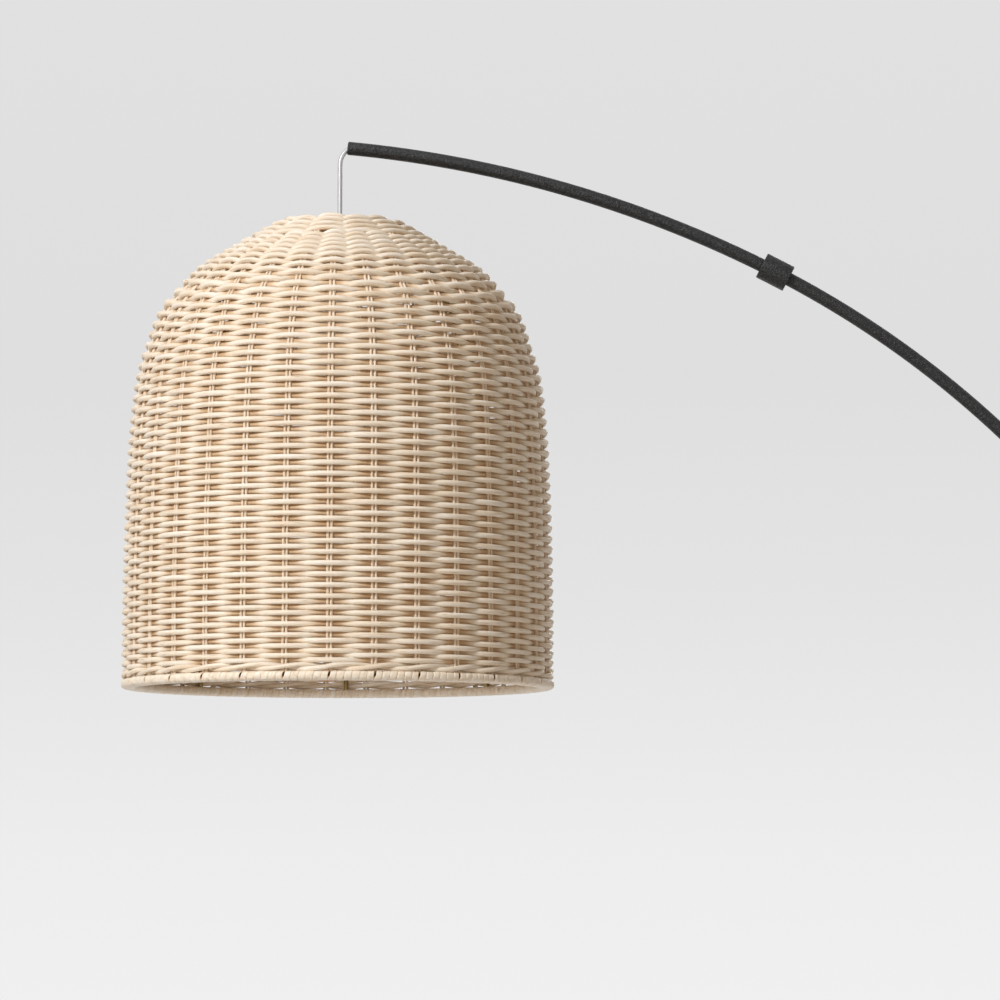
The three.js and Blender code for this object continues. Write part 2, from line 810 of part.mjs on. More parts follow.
// Bulb base: a thin cup open towards the glass.
function bulbBase() {
  const radius = bulbBaseDiameter / 2;
  const top = contactFoot() - fitGap;
  const foot = top - bulbBaseLength;
  const button = contactHeadDiameter / 2;
  const shoulder = top - (radius - button) / 2;
  const section = [
    [radius, foot],
    [radius, shoulder],
    [button, top],
    [0, top],
    [0, top - bulbWall],
    [button, top - bulbWall],
    [radius - bulbWall, shoulder - bulbWall],
    [radius - bulbWall, foot],
  ];
  return piece("bulb_base", turned(section), zincSteel);
}

// Bulb glass: a thin shell, open at the neck that sits in the base.
function bulbGlass() {
  const neck = bulbBaseDiameter / 2 - bulbWall - fitGap;
  const baseFoot = contactFoot() - fitGap - bulbBaseLength;
  const neckTop = baseFoot + bulbBaseLength / 4;
  const top = baseFoot - fitGap;
  const end = contactFoot() - fitGap - bulbLength;
  const outline = new THREE.SplineCurve([
    new THREE.Vector2(neck, top),
    ...bulbOutlineShares.map(
      ([out, down]) => new THREE.Vector2((out * bulbDiameter) / 2, THREE.MathUtils.lerp(top, end, down)),
    ),
  ]);
  const shares = Array.from({ length: bulbRows }, (_, row) => row / bulbRows);
  const outer = shares.map((share) => inside(outline, share, 0).toArray());
  const inner = shares.map((share) => inside(outline, share, bulbWall).toArray());
  const section = [
    [neck, neckTop],
    ...outer,
    [0, end],
    [0, end + bulbWall],
    ...inner.reverse(),
    [neck - bulbWall, neckTop],
  ];
  return piece("bulb_glass", turned(section), opalGlass);
}

// Everything that hangs on the cord, built above the shade's foot on the plumb line.
function pendant() {
  return groupOf(
    [
      shadeWeave(),
      walingBand(),
      rimBinding(),
      shadeCage(),
      shadeTopRing(),
      holderBody(),
      holderCap(),
      cordGrip(),
      holderInsulator(),
      centreContact(),
      screwShell(),
      shadeRing(),
      bulbBase(),
      bulbGlass(),
    ],
    plumbX,
    0,
    shadeFoot,
  );
}

// The two stretches of cord on the plumb line.
function pendantCord() {
  const tail = shadeFoot + plateTop + capHeight + fitGap - gripThreadLength - cordTailLength;
  return groupOf(
    [
      hangingCord("cord_upper", cordDropHeight - cordHingeGap, flexFoot),
      hangingCord("cord_lower", flexFoot - cordHingeGap, tail),
    ],
    plumbX,
  );
}

function base() {
  return groupOf([
    basePad(),
    baseWeight(),
    baseCover(),
    baseBolt(),
    baseWasher(),
    poleSocket(),
    socketScrew(),
    cordGland(),
  ]);
}

function poleAndArm() {
  const poleJoint = new THREE.Vector3(0, 0, poleJointHeight);
  const poleTop = new THREE.Vector3(0, 0, poleTopHeight);
  return groupOf([
    poleTube("pole_lower", tubeFootHeight, poleJointHeight - jointGap),
    poleTube("pole_upper", poleJointHeight + jointGap, poleTopHeight - jointGap),
    armTube("arc_lower", armCentre, armRadius, midJointSlope, jointGap, poleSlope, jointGap),
    armTube("arc_middle", armCentre, armRadius, tipJointSlope, jointGap, midJointSlope, jointGap),
    armTube("arc_tip", armTipCentre, armTipRadius, tipSlope, 0, tipJointSlope, jointGap),
    coupling("pole", poleJoint, poleSlope),
    coupling("shoulder", poleTop, poleSlope),
    coupling("middle", armPoint(midJointSlope), midJointSlope),
    coupling("tip", tipJoint, tipJointSlope),
    tipBush(),
  ]);
}

const lamp = groupOf([base(), poleAndArm(), supplyLead(), cordBend(), pendantCord(), pendant()]);

export default lamp;
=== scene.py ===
import json
import math

import bmesh
import bpy
import numpy as np
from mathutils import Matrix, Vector


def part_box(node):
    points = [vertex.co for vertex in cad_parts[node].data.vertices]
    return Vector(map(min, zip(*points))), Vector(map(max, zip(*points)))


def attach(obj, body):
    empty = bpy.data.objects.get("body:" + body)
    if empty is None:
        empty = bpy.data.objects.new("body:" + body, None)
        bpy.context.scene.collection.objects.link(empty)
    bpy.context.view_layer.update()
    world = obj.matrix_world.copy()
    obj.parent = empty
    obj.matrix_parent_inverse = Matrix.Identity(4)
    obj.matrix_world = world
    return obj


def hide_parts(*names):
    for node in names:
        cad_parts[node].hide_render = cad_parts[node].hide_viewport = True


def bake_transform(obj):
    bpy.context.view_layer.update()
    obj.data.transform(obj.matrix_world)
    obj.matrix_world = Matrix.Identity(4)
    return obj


# Looks of an arc floor lamp with a woven cane dome shade. Metres, +Z up, the arm reaches towards -X.
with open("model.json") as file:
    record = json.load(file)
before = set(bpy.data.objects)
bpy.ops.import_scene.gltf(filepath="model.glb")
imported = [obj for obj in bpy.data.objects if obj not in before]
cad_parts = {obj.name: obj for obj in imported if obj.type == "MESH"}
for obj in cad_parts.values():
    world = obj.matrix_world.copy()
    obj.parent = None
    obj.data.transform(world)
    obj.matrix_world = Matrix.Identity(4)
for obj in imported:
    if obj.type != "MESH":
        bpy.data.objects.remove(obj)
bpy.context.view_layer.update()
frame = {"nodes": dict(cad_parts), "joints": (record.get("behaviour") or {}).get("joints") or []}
print("frame loaded with", len(frame["nodes"]), "nodes")

# Places that the frame gives
pivot = next(joint["pos_m"] for joint in frame["joints"] if joint["name"] == "swing_along_arm")
plumbX = pivot[0]
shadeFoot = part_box("rim_binding")[0].z
weaveLow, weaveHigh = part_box("shade_weave")
shadeRadius = 0.2027
fullTurn = 2 * math.pi

# Camera at the photograph's angle: level with the middle of the pole and tilted up a little

camera = {
    "distance": 3.4965,  # in front of the arm's plane
    "right": 0.15165,  # from the shade's plumb line
    "height": 1.1812,
    "tiltUp": math.radians(5.345),
    "sensor": 36.0,
    "focal": 134.4,
    "farClip": 100.0,
}


def makeCamera(c):
    data = bpy.data.cameras.new("camera")
    data.sensor_fit = "HORIZONTAL"
    data.sensor_width = c["sensor"]
    data.lens = c["focal"]
    data.clip_end = c["farClip"]
    obj = bpy.data.objects.new("camera", data)
    obj.location = (plumbX + c["right"], -c["distance"], c["height"])
    obj.rotation_euler = (math.pi / 2 + c["tiltUp"], 0, 0)
    bpy.context.scene.collection.objects.link(obj)
    bpy.context.scene.camera = obj


makeCamera(camera)
bpy.context.scene.view_settings.view_transform = "Standard"
print("camera placed")


# Meshes from arrays

def addObject(name, mesh, finish, *replaced):
    # A finish is a material, the body that the piece rides or None, and a slot name, which is not used
    material, body, slot = finish
    obj = bpy.data.objects.new(name, mesh)
    bpy.context.scene.collection.objects.link(obj)
    mesh.materials.append(material)
    if body:
        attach(obj, body)
    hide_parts(*replaced)
    return obj


def stacked(*parts):
    # Points or pairs from their parts, each a number or an array
    return np.stack(np.broadcast_arrays(*parts), -1)


def filled(data, key, values, kind=np.float32):
    data.foreach_set(key, np.ascontiguousarray(values, kind).ravel())


def quadMesh(name, points, quads, uv=None, tone=None, sharpAngle=None):
    # points (n, 3), quads (f, 4) corners counter-clockwise from outside, uv one pair per corner,
    # tone one number per point that the materials read for variation between strands and for painted shade
    mesh = bpy.data.meshes.new(name)
    mesh.vertices.add(len(points))
    filled(mesh.vertices, "co", points)
    mesh.loops.add(quads.size)
    filled(mesh.loops, "vertex_index", quads, np.int32)
    mesh.polygons.add(len(quads))
    filled(mesh.polygons, "loop_start", np.arange(0, quads.size, 4), np.int32)
    filled(mesh.polygons, "use_smooth", np.ones(len(quads)), bool)
    mesh.update(calc_edges=True)
    if uv is not None:
        filled(mesh.uv_layers.new(name="strand").data, "uv", uv)
    if tone is not None:
        filled(mesh.attributes.new("tone", "FLOAT", "POINT").data, "value", tone)
    if sharpAngle is not None:
        mesh.set_sharp_from_angle(angle=sharpAngle)
    return mesh


def unit(vectors):
    return vectors / np.linalg.norm(vectors, axis=-1, keepdims=True)


def turns(count):
    # Angles of so many even steps of a full turn
    return np.arange(count) / count * fullTurn


def gridQuads(rings, sides, closedAlong):
    # Quads between each ring and the next, round every side: outward when rings run along the
    # tangent and sides turn from the normal towards tangent x normal
    ring = np.arange(rings if closedAlong else rings - 1)[:, None]
    side = np.arange(sides)[None, :]
    ahead, beside = (ring + 1) % rings * sides, (side + 1) % sides
    ring = ring * sides
    return stacked(ring + side, ring + beside, ahead + beside, ahead + side).reshape(-1, 4)


def capQuads(sides, first, backwards):
    # A flat end as quads that fan out from the ring's first point. Sides is even.
    k = np.arange(1, sides - 2, 2)
    fan = stacked(0, k, k + 1, k + 2) + first
    return fan[:, ::-1] if backwards else fan


def strandMesh(name, centres, normals, wide, thick, sides, closed=False, tone=None, sharpAngle=None):
    # A strand: an ellipse carried along the centres. Each ring lies across the path's direction, with
    # its thick axis along the given normal and its wide axis square to both. centres and normals are
    # (rings, 3) or (strands, rings, 3); wide and thick are radii, one number or one for each ring.
    centres, normals = (v if v.ndim == 3 else v[None] for v in (centres, normals))
    strands, rings = centres.shape[:2]
    if closed:
        along = np.roll(centres, -1, 1) - np.roll(centres, 1, 1)
    else:
        along = np.gradient(centres, axis=1)
    along = unit(along)
    up = unit(normals - (normals * along).sum(-1, keepdims=True) * along)
    across = np.cross(along, up)
    turn = turns(sides)[:, None]
    wide, thick = (np.broadcast_to(v, (strands, rings))[..., None, None] for v in (wide, thick))
    rim = thick * np.cos(turn) * up[:, :, None] + wide * np.sin(turn) * across[:, :, None]
    points = (centres[:, :, None] + rim).reshape(-1, 3)
    quads = gridQuads(rings, sides, closed)
    if not closed:
        quads = np.vstack((quads, capQuads(sides, 0, True), capQuads(sides, (rings - 1) * sides, False)))
    quads = (quads + (np.arange(strands) * rings * sides)[:, None, None]).reshape(-1, 4)
    # The map runs along the strand in metres, from another start for each strand, and once round it
    steps = np.linalg.norm(np.diff(centres, axis=1), axis=-1)
    length = np.concatenate((np.zeros((strands, 1)), np.cumsum(steps, 1)), 1)
    length = length + 0.37 * np.arange(strands)[:, None]
    lengths = np.repeat(length.reshape(-1), sides)
    around = np.tile(np.arange(sides) / sides, strands * rings)
    uv = stacked(lengths[quads], around[quads])
    wrapped = uv[..., 1].max(1, keepdims=True) - uv[..., 1] > 0.5
    uv[..., 1] += wrapped
    if tone is not None:
        tone = np.repeat(np.broadcast_to(tone, (strands, rings)).reshape(-1), sides)
    return quadMesh(name, points, quads, uv, tone, sharpAngle)


def rounded(corners, radius=0.0, steps=5):
    # Corners of a section with each one that has a fillet replaced by a quadratic curve that leaves and
    # joins its two edges at the fillet's distance. A corner is (radius, height) or (radius, height, fillet).
    out = []
    for i, corner in enumerate(corners):
        here = np.array(corner[:2])
        fillet = corner[2] if len(corner) > 2 else radius
        back = np.array(corners[i - 1][:2]) - here
        ahead = np.array(corners[(i + 1) % len(corners)][:2]) - here
        reach = min(fillet, np.linalg.norm(back) * 0.45, np.linalg.norm(ahead) * 0.45)
        if fillet == 0 or here[0] == 0:
            out.append(here[None])
            continue
        a, b = here + unit(back) * reach, here + unit(ahead) * reach
        t = np.linspace(0, 1, steps)[:, None]
        out.append((1 - t) ** 2 * a + 2 * t * (1 - t) * here + t**2 * b)
    return np.vstack(out)


def straightPlace(point, along, side):
    # Gives the centre, side and front at a distance along a straight line
    along, side = np.array(along, float), np.array(side, float)

    def place(distance):
        centre = point + distance[:, None] * along
        return (centre, *(np.broadcast_to(v, centre.shape) for v in (side, np.cross(along, side))))
    return place


upright = straightPlace((0, 0, 0), (0, 0, 1), (1, 0, 0))
onPlumbLine = straightPlace((plumbX, 0, 0), (0, 0, 1), (1, 0, 0))


def turnedMesh(name, section, place, sides):
    # A section of (radius, distance) points turned about a line, straight or curved: place gives the
    # line's point and axes at a distance, and a point lies its radius out from there. The section
    # closes on itself or starts and ends on the line.
    r, d = np.array(section, float).T
    if (r * np.roll(d, -1) - np.roll(r, -1) * d).sum() < 0:  # it has to run counter-clockwise
        r, d = r[::-1], d[::-1]
    centre, side, front = place(d)
    turn = turns(sides)[None, :, None]
    spokes = np.cos(turn) * side[:, None] + np.sin(turn) * front[:, None]
    points = (centre[:, None] + r[:, None, None] * spokes).reshape(-1, 3)
    onLine = r[0] == 0 and r[-1] == 0
    mesh = quadMesh(name, points, gridQuads(len(r), sides, not onLine))
    work = bmesh.new()
    work.from_mesh(mesh)
    bmesh.ops.remove_doubles(work, verts=work.verts, dist=1e-7)
    work.to_mesh(mesh)
    work.free()
    mesh.set_sharp_from_angle(angle=math.radians(40))
    return mesh


def turnedPiece(name, section, place, sides, finish, *replaced):
    return addObject(name, turnedMesh(name, section, place, sides), finish, *replaced)


def splineThrough(points, count):
    # Catmull-Rom curve: on each span a cubic through the span's two points, whose slope at each point
    # is half the step between that point's neighbours
    points = np.asarray(points, float)
    padded = np.vstack((points[:1], points, points[-1:]))
    u = np.linspace(0, len(points) - 1, count)
    i = np.minimum(u.astype(int), len(points) - 2)
    t = (u - i)[:, None]
    a, b, c, d = (padded[i + k] for k in range(4))
    return 0.5 * (2 * b + (c - a) * t + (2 * a - 5 * b + 4 * c - d) * t**2 + (3 * b - a - 3 * c + d) * t**3)


def smoothStep(x):
    x = np.clip(x, 0, 1)
    return x * x * (3 - 2 * x)


def waver(x, *waves):
    # Smooth noise. Each wave is (amount, pace, seed): three sines at unrelated frequencies, whose
    # frequencies and phases come from the seed.
    total = 0.0
    for amount, pace, seed in waves:
        random = np.random.default_rng(seed)
        for octave in range(3):
            frequency = pace * 1.9**octave * random.uniform(0.8, 1.2)
            total = total + amount / 1.9 / 1.5**octave * np.sin(frequency * x + random.uniform(0, fullTurn))
    return total


def joinedMesh(name, *meshes):
    # Several meshes as one, each still its own closed surface
    work = bmesh.new()
    for mesh in meshes:
        work.from_mesh(mesh)
        bpy.data.meshes.remove(mesh)
    mesh = bpy.data.meshes.new(name)
    work.to_mesh(mesh)
    work.free()
    return mesh


# Materials: nodes on Object coordinates, or on the strand's own UV map. The owner is a material or world.

def newMaterial(name):
    material = bpy.data.materials.new(name)
    material.use_nodes = True
    material.node_tree.nodes.clear()
    output = linked(material, "ShaderNodeOutputMaterial")
    shader = linked(material, "ShaderNodeBsdfPrincipled")
    connect(material, shader.outputs["BSDF"], output.inputs["Surface"])
    return material, shader


def linked(owner, kind, values=None, **inputs):
    # A node of a kind, with its sockets set to values or joined to other nodes' outputs
    node = owner.node_tree.nodes.new(kind)
    for key, value in (values or {}).items():
        setattr(node, key, value)
    setInputs(owner, node, **inputs)
    return node


def setInputs(owner, node, **inputs):
    for key, value in inputs.items():
        connect(owner, value, node.inputs[key.replace("_", " ")])


def connect(owner, value, socket):
    if isinstance(value, bpy.types.NodeSocket):
        owner.node_tree.links.new(value, socket)
    else:
        socket.default_value = value


def ramp(owner, factor, *stops):
    # Colours in sRGB, 0 to 1, at their places along the factor
    node = linked(owner, "ShaderNodeValToRGB", Fac=factor)
    elements = node.color_ramp.elements
    while len(elements) < len(stops):
        elements.new(0.5)
    for element, (place, colour) in zip(elements, stops):
        element.position = place
        element.color = (*(c / 12.92 if c <= 0.04045 else ((c + 0.055) / 1.055) ** 2.4 for c in colour), 1)
    return node.outputs["Color"]


def coordinates(owner, scale=(1, 1, 1), kind="Object"):
    source = linked(owner, "ShaderNodeTexCoord").outputs[kind]
    return linked(owner, "ShaderNodeMapping", Vector=source, Scale=scale).outputs["Vector"]


def noise(owner, vector, scale, detail=3.0):
    node = linked(owner, "ShaderNodeTexNoise", Vector=vector, Scale=scale, Detail=detail, Roughness=0.55)
    return node.outputs["Fac"]


def multiplied(owner, factor, a, b):
    node = linked(owner, "ShaderNodeMix", {"data_type": "RGBA", "blend_type": "MULTIPLY"})
    for index, value in ((0, factor), (6, a), (7, b)):
        connect(owner, value, node.inputs[index])
    return node.outputs[2]


def maths(owner, operation, a, b=0.0):
    node = linked(owner, "ShaderNodeMath", {"operation": operation})
    connect(owner, a, node.inputs[0])
    connect(owner, b, node.inputs[1])
    return node.outputs["Value"]


def bumped(owner, shader, height, distance, strength):
    node = linked(owner, "ShaderNodeBump", Height=height, Distance=distance, Strength=strength)
    setInputs(owner, shader, Normal=node.outputs["Normal"])


# Split cane: long pale and tan streaks, fine fibres along the strand, each strand its own tone.
# The tone attribute also carries painted shade, darker and warmer where a strand passes inside and
# near black in the rim's slots. The scales are along the strand and round it.
cane = {
    "streaks": (9, 3, 1),
    "streakPlaces": (0.25, 0.45, 0.68),  # of the dark, middle and pale colour
    # low end: painted shade; upper part: each strand's own tone
    "toneAndPaintedShade": (
        (0.0, (0.13, 0.08, 0.04)), (0.15, (0.83, 0.69, 0.52)), (0.55, (0.955, 0.90, 0.83)), (1.0, (1, 1, 1)),
    ),
    "flecks": (60, 9, 1),
    "fleckColours": ((0.24, (0.62, 0.47, 0.31)), (0.34, (0.93, 0.88, 0.81)), (0.50, (1.0, 1.0, 1.0))),
    "fleckShare": 0.55,
    "fibres": (26, 34, 1),
    "fibreDepth": 0.00025,
    "fibreStrength": 0.7,
    "specular": 0.28,
}

# Roughness, then the dark, middle and pale colour
caneColours = {
    "weaverCane": (0.48, (0.91, 0.85, 0.77), (0.965, 0.935, 0.885), (0.99, 0.972, 0.945)),
    "stakeCane": (0.46, (0.905, 0.825, 0.725), (0.965, 0.91, 0.84), (0.985, 0.955, 0.905)),
    "peelCane": (0.40, (0.90, 0.85, 0.775), (0.955, 0.92, 0.865), (0.985, 0.96, 0.92)),
}


def caneMaterial(c, name, roughness, *colours):
    material, shader = newMaterial(name)
    streaks = noise(material, coordinates(material, c["streaks"], "UV"), 1.0, 4.0)
    colour = ramp(material, streaks, *zip(c["streakPlaces"], colours))
    # The tone attribute darkens the colour: each strand's own tone, and painted shade where strands lie
    # inside and in the rim's slots and grooves
    tone = linked(material, "ShaderNodeAttribute", {"attribute_name": "tone"}).outputs["Fac"]
    colour = multiplied(material, 1.0, colour, ramp(material, tone, *c["toneAndPaintedShade"]))
    fleck = noise(material, coordinates(material, c["flecks"], "UV"), 1.0, 2.0)
    colour = multiplied(material, c["fleckShare"], colour, ramp(material, fleck, *c["fleckColours"]))
    setInputs(material, shader, Base_Color=colour, Roughness=roughness, Specular_IOR_Level=c["specular"])
    fibres = noise(material, coordinates(material, c["fibres"], "UV"), 1.0, 2.0)
    bumped(material, shader, fibres, c["fibreDepth"], c["fibreStrength"])
    return material


# Black textured powder coat: fine grain over broader orange peel, slightly uneven grey
coat = {
    "grain": 1100.0,
    "grainShare": 0.4,
    "peel": 540.0,
    "patches": 420.0,
    "greys": ((0.38, (0.045, 0.048, 0.053)), (0.62, (0.16, 0.164, 0.170))),
    "roughness": 0.40,
    "specular": 0.36,
    "depth": 0.0010,
}


def powderCoatMaterial(c):
    material, shader = newMaterial("blackPowderCoat")
    place = coordinates(material)
    colour = ramp(material, noise(material, place, c["patches"], 2.0), *c["greys"])
    setInputs(material, shader, Base_Color=colour, Roughness=c["roughness"], Specular_IOR_Level=c["specular"])
    grain = maths(material, "MULTIPLY", noise(material, place, c["grain"], 2.0), c["grainShare"])
    relief = maths(material, "ADD", grain, noise(material, place, c["peel"], 2.0))
    bumped(material, shader, relief, c["depth"], 1.0)
    return material


# Two near colours, the scale of their soft patches, roughness, metallic, the depth of a fine bump, its
# scale and a stretch
plainColours = {
    "brassCoat": ((0.50, 0.43, 0.25), (0.60, 0.52, 0.32), 90.0, 0.42, 0.75, 0.00005),
    "zincPlate": ((0.62, 0.63, 0.65), (0.74, 0.74, 0.73), 60.0, 0.34, 0.95, 0.00003),
    "castIron": ((0.22, 0.22, 0.23), (0.31, 0.31, 0.31), 45.0, 0.75, 0.6, 0.0004, 260.0),
    "rubberPad": ((0.12, 0.12, 0.12), (0.17, 0.165, 0.16), 120.0, 0.9, 0.0, 0.0002, 1200.0),
    "blackPlastic": ((0.075, 0.075, 0.08), (0.10, 0.10, 0.105), 80.0, 0.38, 0.0, 0.00004),
    "glazedCeramic": ((0.88, 0.87, 0.84), (0.93, 0.92, 0.90), 50.0, 0.2),
    "contactBrass": ((0.72, 0.58, 0.30), (0.82, 0.69, 0.40), 70.0, 0.3, 0.95, 0.00003),
    "spunAluminium": ((0.70, 0.70, 0.71), (0.80, 0.80, 0.80), 90.0, 0.3, 0.95, 0.00003, 900.0, (1, 1, 14)),
    "silverCable": ((0.74, 0.75, 0.77), (0.86, 0.87, 0.88), 140.0, 0.34, 0.25),
}


def plainMaterial(
    name, low, high, scale, roughness, metallic=0.0, bump=0.0, bumpScale=900.0, stretch=(1, 1, 1)
):
    material, shader = newMaterial(name)
    place = coordinates(material, stretch)
    colour = ramp(material, noise(material, place, scale), (0.35, low), (0.65, high))
    setInputs(material, shader, Base_Color=colour, Roughness=roughness, Metallic=metallic)
    if bump:
        bumped(material, shader, noise(material, place, bumpScale, 2.0), bump, 0.6)
    return material


# Clear plastic over a tinned braid: a fine criss-cross in silver under a satin coat. The cross is the
# product of two sines that wind round the cord in opposite directions. The colour is painted darker
# where the surface turns away from the eye, as shade at the jacket's edges.
braid = {
    "strandsRound": 7,
    "pitch": 0.0021,
    "silvers": ((0.1, (0.73, 0.735, 0.755)), (0.9, (0.79, 0.795, 0.81))),
    "paintedEdgeShade": ((0.25, (1, 1, 1)), (0.8, (0.79, 0.795, 0.81))),  # painted edge shade: facing the eye, and turned away
    "metallic": 0.25,
    "roughness": 0.34,
    "coat": 0.5,
    "coatRoughness": 0.3,
}


def cordMaterial(b):
    material, shader = newMaterial("clearCord")
    parts = linked(material, "ShaderNodeSeparateXYZ", Vector=coordinates(material, kind="UV"))
    around = maths(material, "MULTIPLY", parts.outputs["Y"], fullTurn * b["strandsRound"])
    along = maths(material, "MULTIPLY", parts.outputs["X"], fullTurn / b["pitch"])
    right = maths(material, "SINE", maths(material, "ADD", around, along))
    left = maths(material, "SINE", maths(material, "SUBTRACT", around, along))
    cross = maths(material, "ADD", maths(material, "MULTIPLY", right, left), 0.5)
    # Painted shade: the colour darkens where the cord turns away from the eye
    facing = linked(material, "ShaderNodeLayerWeight", Blend=0.5).outputs["Facing"]
    edges = ramp(material, facing, *b["paintedEdgeShade"])
    colour = multiplied(material, 1.0, ramp(material, cross, *b["silvers"]), edges)
    setInputs(
        material, shader, Base_Color=colour, Metallic=b["metallic"], Roughness=b["roughness"],
        Coat_Weight=b["coat"], Coat_Roughness=b["coatRoughness"],
    )
    return material


def opalMaterial():
    # Opal bulb glass, white all through with a gloss
    material, shader = newMaterial("opalGlass")
    patches = noise(material, coordinates(material), 25.0)
    colour = ramp(material, patches, (0.3, (0.94, 0.93, 0.90)), (0.7, (0.97, 0.96, 0.94)))
    setInputs(material, shader, Base_Color=colour, Roughness=0.12, Coat_Weight=0.4)
    return material


canes = {name: caneMaterial(cane, name, *values) for name, values in caneColours.items()}
plain = {name: plainMaterial(name, *values) for name, values in plainColours.items()}
blackSteel = (powderCoatMaterial(coat), "root", "black_steel")
holderPlastic = (plain["blackPlastic"], "pendant", "black_plastic")
frameWire = (plain["brassCoat"], "pendant", "frame_wire")
weaverFinish = (canes["weaverCane"], "pendant", "cane")
clearCord = (cordMaterial(braid), None, "clear_cord")
print("materials made")

# Pendant cord: out of the arm's tip in line with the tube, round a bend and down the plumb line

pendantCord = {
    "diameter": 0.0046,
    "bendWidth": 0.01201,  # from the bush in the arm's tip to the plumb line
    "bendDepth": 0.0165,
    "bushHeight": 0.01095,  # above the joint that the cord swings on
    "tipSlope": math.radians(5.28),
    "splitHeight": 1.8190,  # where the first piece meets the second
    "footHeight": 1.74853,  # end of the cord inside the lampholder's cap
    "bendSteps": 22,
    "step": 0.0015,
    "sides": 20,
    "blendTop": 1.8380,
    "blendMiddle": 1.8285,
    "blendFoot": 1.8105,
}


def cordRoute(c):
    # A quarter of an ellipse that leaves the bush in line with the tube and ends on the plumb line, then
    # straight down that line. Its slope is depth over width times the tangent of the angle turned.
    width, depth = c["bendWidth"], c["bendDepth"]
    first = math.atan(math.tan(c["tipSlope"]) * width / depth)
    width = width / (1 + math.sin(first))
    turn = np.linspace(first, -math.pi / 2, c["bendSteps"])
    centre = (plumbX + width, 0.0, pivot[2] + c["bushHeight"] - depth * math.cos(first))
    bend = centre + stacked(width * np.sin(turn), 0, depth * np.cos(turn))
    upper = straightDown(bend[-1, 2], c["splitHeight"], c["step"])
    lower = straightDown(c["splitHeight"], c["footHeight"], c["step"])
    return np.vstack((bend, upper[1:])), lower


def straightDown(top, foot, step):
    return stacked(plumbX, 0, np.linspace(top, foot, int((top - foot) / step) + 2))


def pathLength(path):
    return np.linalg.norm(np.diff(path, axis=0), axis=1).sum()


def makeCordPiece(c, name, path, bodies, start, end, *cadNodes):
    sideways = np.broadcast_to((0.0, 1.0, 0.0), path.shape)
    radius = c["diameter"] / 2
    mesh = strandMesh(name, path, sideways, radius, radius, c["sides"], sharpAngle=math.radians(50))
    piece = addObject(name, mesh, clearCord, *cadNodes)
    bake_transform(piece)


def makeCords(c):
    upper, lower = cordRoute(c)
    top, middle, split, foot = (c[key] for key in ("blendTop", "blendMiddle", "splitHeight", "blendFoot"))
    makeCordPiece(c, "cordAtTip", upper, ("root", "cord_top"), top, middle, "cord_bend", "cord_upper")
    makeCordPiece(c, "cordToShade", lower, ("cord_top", "cord_drop"), split, foot, "cord_lower")
    print("cord", round(pathLength(upper) + pathLength(lower), 4), "m in two pieces")


makeCords(pendantCord)


# Dome of the shade: its outer line, and points at a distance down it

dome = {
    "crownRadius": 0.0595,
    "outlineShares": (
        (0, 1), (0.066, 0.99), (0.271, 0.947), (0.495, 0.9), (0.587, 0.8735), (0.686, 0.834), (0.792, 0.787),
        (0.865, 0.7165), (0.924, 0.647), (0.964, 0.5265), (0.987, 0.36), (1, 0.16), (1, 0),
    ),
    "samples": 1200,
    "lip": 0.006,  # how far the line runs on inwards past the crown's edge
    "pairs": 31,  # pairs of stakes
    "firstPair": math.radians(-89.85),  # azimuth from +X
}


def makeDomeLine(d):
    # Distance down the outline from the crown's edge, with the outline's radius, height and outward normal
    shares = np.array(d["outlineShares"], float)
    radius = d["crownRadius"] + shares[:, 0] * (shadeRadius - d["crownRadius"])
    height = weaveLow.z + shares[:, 1] * (weaveHigh.z - weaveLow.z)
    line = splineThrough(stacked(radius, height), d["samples"])
    inward = line[0] + d["lip"] * unit(line[0] - line[8])
    line = np.vstack((inward, line, (shadeRadius, shadeFoot)))
    distance = np.append(0, np.cumsum(np.linalg.norm(np.diff(line, axis=0), axis=1))) - d["lip"]
    slope = unit(np.gradient(line, distance, axis=0))
    slope[-1] = slope[-2] = (0, -1)
    return distance, line, stacked(-slope[:, 1], slope[:, 0])


domeDistance, domeLine, domeNormal = makeDomeLine(dome)
weaveLength = domeDistance[-2]


def outwards(azimuth, out=1.0, up=0.0):
    return stacked(out * np.cos(azimuth), out * np.sin(azimuth), up)


def aroundShade(azimuth, radius, height):
    return outwards(azimuth, radius, height) + (plumbX, 0, 0)


def onDome(distance, azimuth, inset):
    # Points inside the outline by an inset, and the outward normals there
    radius, height, out, up = (
        np.interp(distance, domeDistance, values) for values in (*domeLine.T, *domeNormal.T)
    )
    return aroundShade(azimuth, radius - inset * out, height - inset * up), outwards(azimuth, out, up)


# Weaver: one strand wound down the dome in a spiral, over one pair of stakes and under the next

